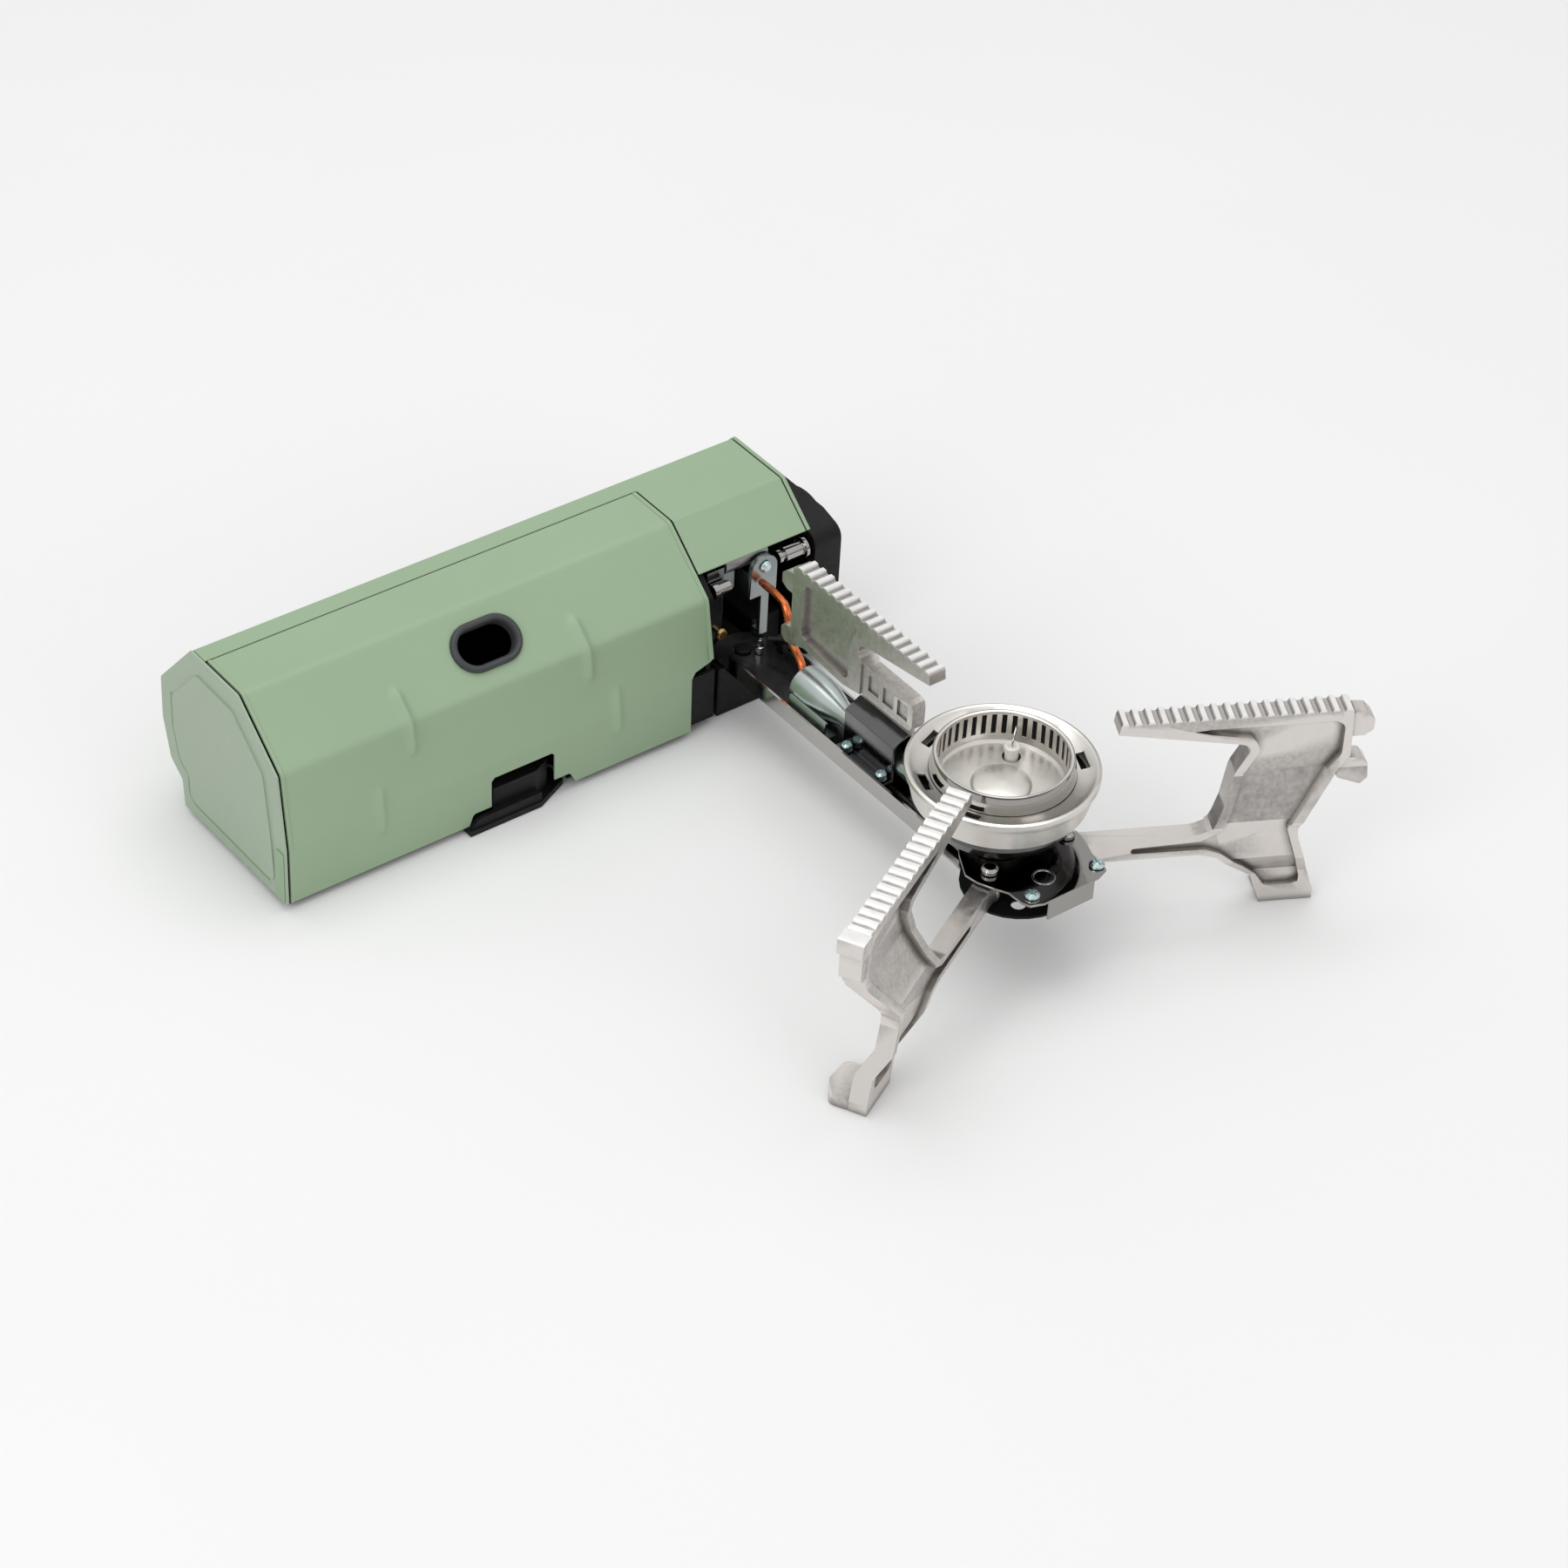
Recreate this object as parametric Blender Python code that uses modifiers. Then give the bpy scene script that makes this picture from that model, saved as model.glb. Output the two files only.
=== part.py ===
"""Folding canister stove: green prism housing, swing arm with burner, three cast pot legs."""
import math

import bmesh
import bpy
from mathutils import Matrix, Vector

# Lengths below are millimetres in the burner frame: the burner axis is x = y = 0, the ground z = 0.
MM = 0.001
CENTRE_X = -45.56
CENTRE_Y = 80.69
GAP = 0.3

# Housing
LEFT = -211.6
SEAM = -20.6
RIGHT = 33.4
SHEET = 0.8
HINGE_Y = 198.3
HINGE_Z = 80.3
TOP_Z = 80.1
SHOULDER = (175.1, TOP_Z)
KNEE = (149.7, 59.1)
CHIN = (145.2, 27.4)
TOE = (144.7, 3.0)
BROW_Y = 206.5
BACK = [(BROW_Y, TOP_Z), (228.7, 54.4), (228.7, 36.0), (224.0, 19.5), (216.3, 14.0), (215.0, 2.2)]
LIP = (157.5, 65.6)
CAN_Y = 187.5
CAN_Z = 41.0
CAN_R = 35.0

# Arm and burner
PIVOT = (0.0, 153.0)
ARM_HALF = 12.2
ARM_Z = 23.2
RIM_R = 36.0
TUBE_Z = 33.5
SCREW_X = -8.1
SCREW_Y = (77.8, 57.0)
PIPE_RUN = [(8.4, 153.9, 52.8), (7.0, 150.0, 54.4), (5.2, 141.6, 56.4), (4.2, 134.6, 56.2),
            (3.6, 131.4, 52.6), (3.3, 129.6, 47.6), (2.4, 126.6, 43.6), (1.2, 121.0, 41.6),
            (0.6, 117.9, 39.8), (0.2, 116.2, 37.6)]
RIM_Z = 70.4
CUP_Z = 75.2
SLITS = 40
WINDOWS = (20, 65, 111, 161, 206, 335)
SPARK = (12.9, 10.0)
PLATE_Z = 39.4
PLATE_T = 1.0
PLATE_FRONT = -42.4
FLOOR_Z = 28.0

# Legs
LEG_TURN = math.radians(117.5)
PIN = (18.0, -17.8)
PIN_R = 1.8
PIN_REACH = 24.2
OFFSET = 7.5
TOP_HALF = 4.3
ARM_HALF_T = 3.5
TEETH = 18
LEG_ONE_X = -0.7

STAGE = {}


def clear_scene():
    for item in list(bpy.data.objects):
        bpy.data.objects.remove(item, do_unlink=True)
    STAGE["parts"] = bpy.data.collections.new("canister_stove")
    STAGE["cutters"] = bpy.data.collections.new("cutters")
    for group in STAGE.values():
        bpy.context.scene.collection.children.link(group)


def finish_material(name, colour, roughness, metallic):
    made = bpy.data.materials.get(name) or bpy.data.materials.new(name)
    made.use_nodes = True
    shader = made.node_tree.nodes["Principled BSDF"]
    shader.inputs["Base Color"].default_value = (*colour, 1.0)
    shader.inputs["Roughness"].default_value = roughness
    shader.inputs["Metallic"].default_value = metallic
    return made


def green_paint(name):
    return finish_material(name + "_paint", (0.27, 0.36, 0.25), 0.45, 0.0)


def black_plastic(name):
    return finish_material(name + "_black", (0.012, 0.012, 0.013), 0.45, 0.0)


def rubber(name):
    return finish_material(name + "_rubber", (0.045, 0.047, 0.052), 0.7, 0.0)


def stainless(name):
    return finish_material(name + "_stainless", (0.62, 0.60, 0.58), 0.22, 1.0)


def zinc(name):
    return finish_material(name + "_zinc", (0.56, 0.60, 0.58), 0.3, 1.0)


def cast(name):
    return finish_material(name + "_cast", (0.58, 0.57, 0.55), 0.5, 0.85)


def copper(name):
    return finish_material(name + "_copper", (0.75, 0.30, 0.14), 0.3, 1.0)


def brass(name):
    return finish_material(name + "_brass", (0.72, 0.55, 0.28), 0.3, 1.0)


def ceramic(name):
    return finish_material(name + "_ceramic", (0.85, 0.84, 0.80), 0.35, 0.0)


def dark_steel(name):
    return finish_material(name + "_dark_steel", (0.14, 0.14, 0.145), 0.2, 1.0)


def to_mesh(source):
    """Swap a curve or a modified object for the plain mesh it makes."""
    graph = bpy.context.evaluated_depsgraph_get()
    graph.update()
    mesh = bpy.data.meshes.new_from_object(source.evaluated_get(graph))
    mesh.transform(source.matrix_world)
    bpy.data.objects.remove(source, do_unlink=True)
    skin = bmesh.new()
    skin.from_mesh(mesh)
    bmesh.ops.remove_doubles(skin, verts=skin.verts, dist=0.00001)
    bmesh.ops.recalc_face_normals(skin, faces=skin.faces)
    skin.to_mesh(mesh)
    skin.free()
    return mesh


def loose(data):
    made = bpy.data.objects.new("work", data)
    bpy.context.scene.collection.objects.link(made)
    return made


# Frames that stand a flat outline up: its own x, y and depth along the named axes.
ALONG_X = Matrix(((0, 0, 1, 0), (1, 0, 0, 0), (0, 1, 0, 0), (0, 0, 0, 1)))
ALONG_Y = Matrix(((1, 0, 0, 0), (0, 0, -1, 0), (0, 1, 0, 0), (0, 0, 0, 1)))
ALONG_Z = Matrix.Identity(4)


def slab(outlines, low, high, frame=ALONG_Z):
    """A flat outline, with any holes as further outlines, given a depth from low to high."""
    curve = bpy.data.curves.new("outline", "CURVE")
    curve.dimensions = "2D"
    curve.fill_mode = "BOTH"
    curve.extrude = (high - low) / 2 * MM
    for outline in outlines:
        spline = curve.splines.new("POLY")
        spline.points.add(len(outline) - 1)
        for point, (x, y) in zip(spline.points, outline):
            point.co = (x * MM, y * MM, 0, 1)
        spline.use_cyclic_u = True
    work = loose(curve)
    middle = (high + low) / 2
    if frame is ALONG_Y:
        middle = -middle
    work.matrix_world = frame @ Matrix.Translation((0, 0, middle * MM))
    bpy.context.view_layer.update()
    return to_mesh(work)


def brick(x0, x1, y0, y1, z0, z1):
    skin = bmesh.new()
    bmesh.ops.create_cube(skin, size=1.0)
    size = Matrix.Diagonal(((x1 - x0) * MM, (y1 - y0) * MM, (z1 - z0) * MM, 1))
    place = Matrix.Translation(((x0 + x1) / 2 * MM, (y0 + y1) / 2 * MM, (z0 + z1) / 2 * MM))
    bmesh.ops.transform(skin, matrix=place @ size, verts=skin.verts)
    mesh = bpy.data.meshes.new("brick")
    skin.to_mesh(mesh)
    skin.free()
    return mesh


def turned(profile, steps=48, frame=ALONG_Z, centre=(0, 0, 0)):
    """A profile of (radius, height) turned once round; ends on the axis close the solid."""
    mesh = bpy.data.meshes.new("profile")
    points = [(r * MM, 0, z * MM) for r, z in profile]
    edges = [(i, i + 1) for i in range(len(points) - 1)]
    if profile[0][0] > 0:
        edges.append((len(points) - 1, 0))
    mesh.from_pydata(points, edges, [])
    work = loose(mesh)
    screw = work.modifiers.new("turn", "SCREW")
    screw.axis = "Z"
    screw.steps = steps
    screw.render_steps = steps
    screw.use_merge_vertices = True
    screw.merge_threshold = 0.00001
    screw.use_normal_calculate = True
    work.matrix_world = Matrix.Translation(Vector(centre) * MM) @ frame
    bpy.context.view_layer.update()
    return to_mesh(work)


def rod(start, end, radius, steps=16):
    """A straight round bar between two points."""
    a = Vector(start)
    b = Vector(end)
    length = (b - a).length
    skin = bmesh.new()
    bmesh.ops.create_cone(skin, cap_ends=True, segments=steps, radius1=radius * MM,
                          radius2=radius * MM, depth=length * MM)
    turn = Vector((0, 0, 1)).rotation_difference(b - a).to_matrix().to_4x4()
    place = Matrix.Translation((a + b) / 2 * MM)
    bmesh.ops.transform(skin, matrix=place @ turn, verts=skin.verts)
    mesh = bpy.data.meshes.new("rod")
    skin.to_mesh(mesh)
    skin.free()
    return mesh


def pipe(points, radius, bends=3, steps=3):
    """A bent round tube or wire through the points."""
    curve = bpy.data.curves.new("run", "CURVE")
    curve.dimensions = "3D"
    curve.bevel_depth = radius * MM
    curve.bevel_resolution = bends
    curve.use_fill_caps = True
    spline = curve.splines.new("POLY")
    path = smooth(points, steps)
    spline.points.add(len(path) - 1)
    for point, place in zip(spline.points, path):
        point.co = (*(place * MM), 1)
    return to_mesh(loose(curve))


def smooth(points, steps):
    """Points of a Catmull-Rom line through the given ones."""
    given = [Vector(p) for p in points]
    given = [2 * given[0] - given[1]] + given + [2 * given[-1] - given[-2]]
    path = []
    for i in range(1, len(given) - 2):
        a, b, c, d = given[i - 1:i + 3]
        for k in range(steps):
            t = k / steps
            path.append(0.5 * (2 * b + (c - a) * t + (2 * a - 5 * b + 4 * c - d) * t * t
                               + (3 * b - a - 3 * c + d) * t ** 3))
    path.append(given[-2])
    return path


def rounded(outline, radius, steps=3):
    """The outline with every corner rounded."""
    made = []
    count = len(outline)
    for i in range(count):
        here = Vector(outline[i])
        back = Vector(outline[i - 1]) - here
        ahead = Vector(outline[(i + 1) % count]) - here
        turn = back.angle(ahead)
        reach = min(radius / math.tan(turn / 2), back.length * 0.45, ahead.length * 0.45)
        a = here + back.normalized() * reach
        b = here + ahead.normalized() * reach
        for k in range(steps + 1):
            t = k / steps
            made.append(tuple((1 - t) ** 2 * a + 2 * t * (1 - t) * here + t * t * b))
    return made


def eased(points, radius, steps=2):
    """An open run of points with its inner corners rounded; both ends stay."""
    closed = rounded(points, radius, steps)
    return [points[0]] + closed[steps + 1:-(steps + 1)] + [points[-1]]


def circle(x, y, radius, steps=24):
    return [(x + radius * math.cos(2 * math.pi * k / steps), y + radius * math.sin(2 * math.pi * k / steps))
            for k in range(steps)]


def stadium(x, y, half_long, radius, steps=8):
    right = [(x + half_long + radius * math.sin(math.pi * k / steps),
              y - radius * math.cos(math.pi * k / steps)) for k in range(steps + 1)]
    left = [(x - half_long - radius * math.sin(math.pi * k / steps),
             y + radius * math.cos(math.pi * k / steps)) for k in range(steps + 1)]
    return right + left


def cutter(mesh, name):
    made = bpy.data.objects.new("cut_" + name, mesh)
    STAGE["cutters"].objects.link(made)
    made.hide_render = True
    made.display_type = "WIRE"
    return made


def combine(base, others, operation="DIFFERENCE"):
    """Cut the other meshes from the base mesh, or join them to it."""
    work = loose(base)
    tools = []
    for other in others:
        tool = cutter(other, "tool")
        tools.append(tool)
        change = work.modifiers.new("boolean", "BOOLEAN")
        change.operation = operation
        change.solver = "EXACT"
        change.object = tool
    bpy.context.view_layer.update()
    mesh = to_mesh(work)
    for tool in tools:
        bpy.data.objects.remove(tool, do_unlink=True)
    return mesh


def merged(meshes):
    """Several separate shapes kept in one mesh, for use as one cutter."""
    skin = bmesh.new()
    for mesh in meshes:
        skin.from_mesh(mesh)
    made = bpy.data.meshes.new("merged")
    skin.to_mesh(made)
    skin.free()
    return made


def node(name, mesh, finish, pivot=(0, 0, 0), edge=0.0, segments=1, smooth_angle=None):
    """Name a finished mesh, give it its material and put its origin on its pivot."""
    corner = Vector(pivot) * MM
    mesh.transform(Matrix.Translation(-corner))
    mesh.name = name
    made = bpy.data.objects.new(name, mesh)
    STAGE["parts"].objects.link(made)
    made.location = corner - Vector((CENTRE_X, CENTRE_Y, 0)) * MM
    mesh.materials.clear()
    mesh.materials.append(finish(name))
    if edge > 0:
        bevel = made.modifiers.new("edges", "BEVEL")
        bevel.width = edge * MM
        bevel.segments = segments
        bevel.limit_method = "ANGLE"
        bevel.angle_limit = math.radians(40)
        bevel.use_clamp_overlap = True
    return made


def folded_sheet(profile, spans, thickness, inward):
    """Sheet bent along X: the (y, z) profile drawn over the spans of x it covers, then thickened."""
    stations = sorted({x for span in spans for x in span[:2]})
    skin = bmesh.new()
    grid = {}
    for i, x in enumerate(stations):
        for j, (y, z) in enumerate(profile):
            grid[i, j] = skin.verts.new((x * MM, y * MM, z * MM))
    for x0, x1, first, last in spans:
        for i in range(stations.index(x0), stations.index(x1)):
            for j in range(first, last):
                ring = (grid[i, j], grid[i + 1, j], grid[i + 1, j + 1], grid[i, j + 1])
                if skin.faces.get(ring) is None:
                    skin.faces.new(ring)
    bmesh.ops.delete(skin, geom=[v for v in skin.verts if not v.link_faces], context="VERTS")
    mesh = bpy.data.meshes.new("sheet")
    skin.to_mesh(mesh)
    skin.free()
    work = loose(mesh)
    shell = work.modifiers.new("thickness", "SOLIDIFY")
    shell.thickness = thickness * MM
    shell.offset = -1.0 if inward else 1.0
    shell.use_even_offset = True
    bpy.context.view_layer.update()
    return to_mesh(work)


# ---------------------------------------------------------------- housing

def fixed_shell():
    profile = [LIP, SHOULDER, (HINGE_Y + 0.4, TOP_Z)] + BACK + [(160.0, 2.2)]
    last = len(profile) - 1
    spans = [(LEFT + 0.2, SEAM + 1.0, 2, last), (SEAM + 1.0, RIGHT, 0, last)]
    sheet = folded_sheet(profile, spans, SHEET, True)
    node("fixed_shell", sheet, green_paint)


def section_outline(shrink=0.0):
    around = [TOE, CHIN, KNEE, SHOULDER] + BACK
    middle = Vector((187.0, 41.0))
    made = []
    for y, z in around:
        away = Vector((y, z)) - middle
        made.append(tuple(middle + away * (1 - shrink / away.length)))
    return made


def end_cap():
    outer = rounded(section_outline(-0.2), 1.2, 2)
    panel = rounded(section_outline(9.0), 4.0, 3)
    plate = slab([outer], LEFT - 1.2, LEFT - 0.2, ALONG_X)
    boss = slab([panel], LEFT - 2.0, LEFT - 1.0, ALONG_X)
    node("end_cap", combine(plate, [boss], "UNION"), green_paint)


def cover():
    profile = [TOE, CHIN, KNEE, SHOULDER, (HINGE_Y - 0.4, TOP_Z)]
    left = LEFT + 0.9
    right = SEAM
    sheet = folded_sheet(profile, [(left, right, 0, 4)], SHEET, True)
    window_y = (SHOULDER[0] + KNEE[0]) / 2
    window_z = (SHOULDER[1] + KNEE[1]) / 2
    slope = math.atan2(SHOULDER[1] - KNEE[1], SHOULDER[0] - KNEE[0])
    hole = slab([stadium(0, 0, 5.2, 7.6)], -6, 6)
    hole.transform(Matrix.Translation((-113.6 * MM, window_y * MM, window_z * MM))
                   @ Matrix.Rotation(slope, 4, "X"))
    notch = rounded([(-122.5, -2), (-122.5, 21), (-93.8, 21), (-93.8, -2)], 2.0)
    flare = [(-134, -2), (-130.5, 7.4), (-87, 7.4), (-82, -2)]
    corner = rounded([(SEAM - 9.6, -2), (SEAM - 9.6, 29.6), (SEAM + 6, 34.0), (SEAM + 6, -2)], 2.5)
    cuts = [hole]
    for shape in (notch, flare, corner):
        cuts.append(slab([shape], 140, 150.2, ALONG_Y))
    tab = slab([[(left - 1, 25.6), (left + 0.9, 25.6), (left + 0.9, -2),
                 (left - 1, -2)]], 140, 150, ALONG_Y)
    body = combine(sheet, cuts + [tab])
    for rib in cover_ribs():
        body = combine(body, [rib], "UNION")
    node("cover", body, green_paint, (0, HINGE_Y, HINGE_Z))


def cover_ribs():
    """Stiffening beads pressed across the two lower bends of the cover."""
    ribs = []
    for x in (-155.5, -76.0):
        bead = [(-2.6, -0.5), (-1.4, 0.55), (1.4, 0.55), (2.6, -0.5)]
        upper = Vector((0, *KNEE)) + (Vector((0, *SHOULDER)) - Vector((0, *KNEE))).normalized() * 11
        lower = Vector((0, *KNEE)) + (Vector((0, *CHIN)) - Vector((0, *KNEE))).normalized() * 12
        ribs.append(bead_run(x, [upper, Vector((0, *KNEE)), lower], bead))
    return ribs


def bead_run(x, path, bead):
    """A low bead following the sheet from the first to the last path point."""
    skin = bmesh.new()
    rings = []
    for i, place in enumerate(path):
        before = path[max(i - 1, 0)]
        after = path[min(i + 1, len(path) - 1)]
        along = (after - before).normalized()
        out = Vector((0, along.z, -along.y))
        if out.y > 0:
            out = -out
        fade = 0.25 if i in (0, len(path) - 1) else 1.0
        ring = []
        for a, b in bead:
            lift = b * fade if b > 0 else b
            ring.append(skin.verts.new((Vector((x + a, 0, 0)) + place + out * lift) * MM))
        rings.append(ring)
    for a, b in zip(rings, rings[1:]):
        for k in range(4):
            skin.faces.new((a[k], a[(k + 1) % 4], b[(k + 1) % 4], b[k]))
    skin.faces.new(rings[0])
    skin.faces.new(rings[-1])
    bmesh.ops.recalc_face_normals(skin, faces=skin.faces)
    mesh = bpy.data.meshes.new("bead")
    skin.to_mesh(mesh)
    skin.free()
    return mesh


def window_grommet():
    """Rubber rim of the sight window, gripping the sheet through a groove."""
    slope = math.atan2(SHOULDER[1] - KNEE[1], SHOULDER[0] - KNEE[0])
    inner = stadium(0, 0, 5.2, 5.4)
    parts = []
    for half, low, high in ((9.6, 0.3, 2.2), (7.2, -1.2, 0.5), (9.0, -2.4, -1.1)):
        parts.append(slab([stadium(0, 0, 5.2, half), inner], low, high))
    body = combine(parts[0], parts[1:], "UNION")
    body.transform(Matrix.Translation((-113.6 * MM, (SHOULDER[0] + KNEE[0]) / 2 * MM,
                                       (SHOULDER[1] + KNEE[1]) / 2 * MM)) @ Matrix.Rotation(slope, 4, "X"))
    node("window_grommet", body, rubber, (0, HINGE_Y, HINGE_Z))


def hinge_rod():
    node("hinge_rod", rod((LEFT + 2.0, HINGE_Y, 78.0), (SEAM + 1.6, HINGE_Y, 78.0), 0.9, 12),
         stainless)


def base_tray():
    """Black tray under the housing, with a low front lip either side of the moulded foot."""
    floor = brick(LEFT + 1.4, SEAM + 3.0, 147.2, 212.5, 3.3, 4.1)
    works = brick(SEAM + 2.0, RIGHT - 1.0, 160.4, 212.5, 3.3, 4.1)
    front = brick(LEFT + 1.4, -134.5, 146.4, 147.9, 1.2, 11.0)
    middle = brick(-81.5, SEAM - 10.6, 146.4, 147.9, 1.2, 11.0)
    back = brick(LEFT + 1.4, RIGHT - 1.0, 211.5, 213.0, 3.3, 12.0)
    apron = brick(SEAM - 11.5, SEAM + 3.0, 147.4, 148.9, 3.3, 26.0)
    tray = combine(floor, [works, front, middle, back, apron], "UNION")
    foot_gap = brick(-134.2, -86.4, 140.0, 158.4, 2.8, 4.6)
    node("base_tray", combine(tray, [foot_gap]), black_plastic)


def foot_centre():
    """Moulded foot in the cover's notch: a low flared sole and an upright body, cut off at an angle."""
    sole = slab([[(-133.6, 142.2), (-101.5, 142.2), (-87.0, 149.0), (-87.0, 158.0),
                  (-133.6, 158.0)]], 0.0, 2.4)
    body = slab([[(-121.2, 145.9), (-101.5, 145.9), (-94.2, 149.6), (-94.2, 158.0),
                  (-121.2, 158.0)]], 2.0, 15.0)
    flare = slab([[(-132.6, 0.6), (-132.6, 2.5), (-129.6, 6.0), (-121.6, 6.4), (-101.0, 6.4),
                   (-101.0, 0.6)]],
                 142.9, 145.0, ALONG_Y)
    bridge = brick(-121.0, -102.0, 144.0, 147.0, 1.0, 6.2)
    node("foot_centre", combine(sole, [body, flare, bridge], "UNION"), black_plastic, edge=0.3)


def foot_left():
    node("foot_left", brick(LEFT + 1.0, LEFT + 14.0, 149.0, 163.0, 0.0, 1.9), rubber)


def foot_right():
    node("foot_right", brick(-45.0, -31.0, 148.4, 162.0, 0.0, 1.9), rubber)


def foot_back():
    for name, x in (("foot_back_left", LEFT + 16.0), ("foot_back_right", 8.0)):
        node(name, brick(x, x + 16.0, 196.0, 210.0, 0.0, 1.9), rubber)


def canister_cradle():
    """Half-round steel bed the canister lies in, standing on two welded feet."""
    steps = 20
    start = math.radians(-158)
    stop = math.radians(-22)
    ring = []
    for radius in (CAN_R + 0.8, CAN_R + 1.6):
        angles = [start + (stop - start) * k / steps for k in range(steps + 1)]
        if radius > CAN_R + 1.2:
            angles.reverse()
        ring += [(CAN_Y + radius * math.cos(a), CAN_Z + radius * math.sin(a)) for a in angles]
    bed = slab([ring], -196.0, -46.0, ALONG_X)
    windows = [brick(x, x + 26, CAN_Y - 14, CAN_Y + 14, 0, 9) for x in (-180, -134, -88)]
    node("canister_cradle", combine(bed, windows), stainless)


def bulkhead():
    """Black moulding that walls the works off from the canister bay and backs the opening."""
    inside = [(152.0, 8.0), (152.0, 57.0), (175.0, 77.6), (205.0, 77.6), (226.5, 53.5), (226.5, 37.0),
              (222.0, 21.0), (214.0, 15.5), (211.0, 12.6), (211.0, 8.0)]
    wall = slab([inside], SEAM + 2.2, SEAM + 4.2, ALONG_X)
    back = brick(SEAM + 4.0, RIGHT - 1.4, 213.5, 215.5, 16.5, 66.0)
    opening = rod((SEAM, CAN_Y, CAN_Z), (SEAM + 8, CAN_Y, CAN_Z), 13.0, 32)
    node("bulkhead", combine(combine(wall, [back], "UNION"), [opening]), black_plastic)


def regulator():
    """Pressure regulator: docking disc with a key notch, body, and diaphragm bonnet."""
    steps = 40
    disc = turned([(0, 0), (26.0, 0), (27.0, -1.0), (27.0, -3.4), (15.0, -3.4), (15.0, -2.0), (0, -2.0)],
                  steps, ALONG_X, (SEAM + 1.4, CAN_Y, CAN_Z))
    notch = brick(SEAM - 3, SEAM + 2, CAN_Y - 2, CAN_Y + 2, CAN_Z + 20, CAN_Z + 30)
    node("docking_disc", combine(disc, [notch]), dark_steel)
    body = turned([(0, 16.0), (9.0, 16.0), (11.0, 14.0), (11.0, 0), (0, 0)], 32, ALONG_X,
                  (SEAM + 4.6, CAN_Y, CAN_Z))
    rail = rod((-5.8, 163.6, 62.4), (14.0, 163.6, 62.4), 5.4, 24)
    neck = brick(-5.6, 0.0, 163.0, 190.0, 50.0, 53.0)
    drop = brick(-5.6, 0.0, 160.5, 166.0, 50.0, 62.0)
    node("regulator_body", combine(body, [neck, drop, rail], "UNION"), zinc)
    bonnet = turned([(0, 5.5), (12.5, 5.5), (17.0, 3.0), (17.0, -3.0), (12.5, -5.5), (0, -5.5)], 36,
                    ALONG_Z, (7.2, CAN_Y, CAN_Z + 18.0))
    node("regulator_bonnet", bonnet, dark_steel)


def canister_magnets():
    for name, sign in (("magnet_front", -1), ("magnet_back", 1)):
        node(name, rod((SEAM - 4.4, CAN_Y + sign * 20, CAN_Z),
                       (SEAM - 2.3, CAN_Y + sign * 20, CAN_Z), 5.0, 20),
             stainless)


def inlet_nozzle():
    shape = turned([(0, 3.0), (4.5, 3.0), (4.5, 0.5), (2.2, -0.5), (2.2, -4.0), (0, -4.0)], 20, ALONG_X,
                   (SEAM - 5.6 - GAP, CAN_Y, CAN_Z))
    node("inlet_nozzle", shape, brass)


def outlet_tab():
    """Grey pressed tab, round at the top, that carries the gas outlet."""
    arch = [(10.2 + 6.1 * math.cos(math.pi * k / 10), 57.6 + 6.1 * math.sin(math.pi * k / 10))
            for k in range(11)]
    plate = slab([arch + [(3.8, 45.6), (16.2, 45.6)]], 155.0, 157.2, ALONG_Y)
    side = brick(3.8, 5.0, 156.0, 164.0, 45.6, 55.6)
    wing = brick(3.8, 16.2, 155.0, 164.0, 45.6, 47.0)
    node("outlet_tab", combine(plate, [side, wing], "UNION"), zinc)
    head = turned([(0, 1.5), (1.6, 1.4), (2.6, 0.5), (2.6, 0), (0, 0)], 16, ALONG_Y, (10.4, 154.7, 59.0))
    node("tab_screw", head, zinc)


def outlet_strap():
    strap = brick(9.9, 13.7, 156.0, 158.0, 25.5, 45.2)
    toe = brick(9.9, 13.7, 156.0, 161.0, 25.5, 27.0)
    node("outlet_strap", combine(strap, [toe], "UNION"), dark_steel)


def inner_fittings():
    valve = turned([(0, 13.0), (4.4, 13.0), (4.4, 11.6), (3.0, 11.4), (3.0, 3.2), (1.9, 3.0), (1.9, 1.8),
                    (2.7, 1.6), (2.7, 0), (0, 0)], 24, ALONG_X, (18.6, 158.5, 57.6))
    node("safety_valve", valve, stainless)
    roll = turned([(0, 8.4), (2.0, 8.4), (2.3, 8.0), (2.3, 2.4), (3.0, 2.2), (3.0, 0), (0, 0)], 20, ALONG_X,
                  (-15.2, 154.6, 57.4))
    lever = combine(brick(-15.2, -7.0, 154.6, 158.0, 55.2, 58.0), [roll], "UNION")
    node("cover_catch", lever, stainless)
    pin = turned([(0, 2.0), (2.0, 1.6), (2.6, 0.6), (2.6, 0), (1.3, 0), (1.3, -4.7),
                  (0, -4.7)], 16, ALONG_Y,
                 (-11.0, 153.5, 36.5))
    node("catch_screw", pin, brass)
    spine = brick(-14.5, -6.5, 158.6, 164.0, 30.0, 63.0)
    node("works_plate", spine, dark_steel)


def pivot_block():
    """Black foot block under the arm's inner end; the pivot pin stands in it."""
    block = brick(-14.2, 8.0, 149.4, 176.0, 4.5, 22.8)
    sole = brick(-14.2, 8.0, 149.4, 159.6, 0.0, 5.0)
    hole = rod((*PIVOT, -1), (*PIVOT, 30), 2.3, 20)
    node("pivot_block", combine(combine(block, [sole], "UNION"), [hole]), black_plastic, edge=0.5)


def igniter():
    node("piezo_igniter", brick(16.0, 30.0, 168.0, 190.0, 6.0, 22.0), black_plastic, edge=0.8)


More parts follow.
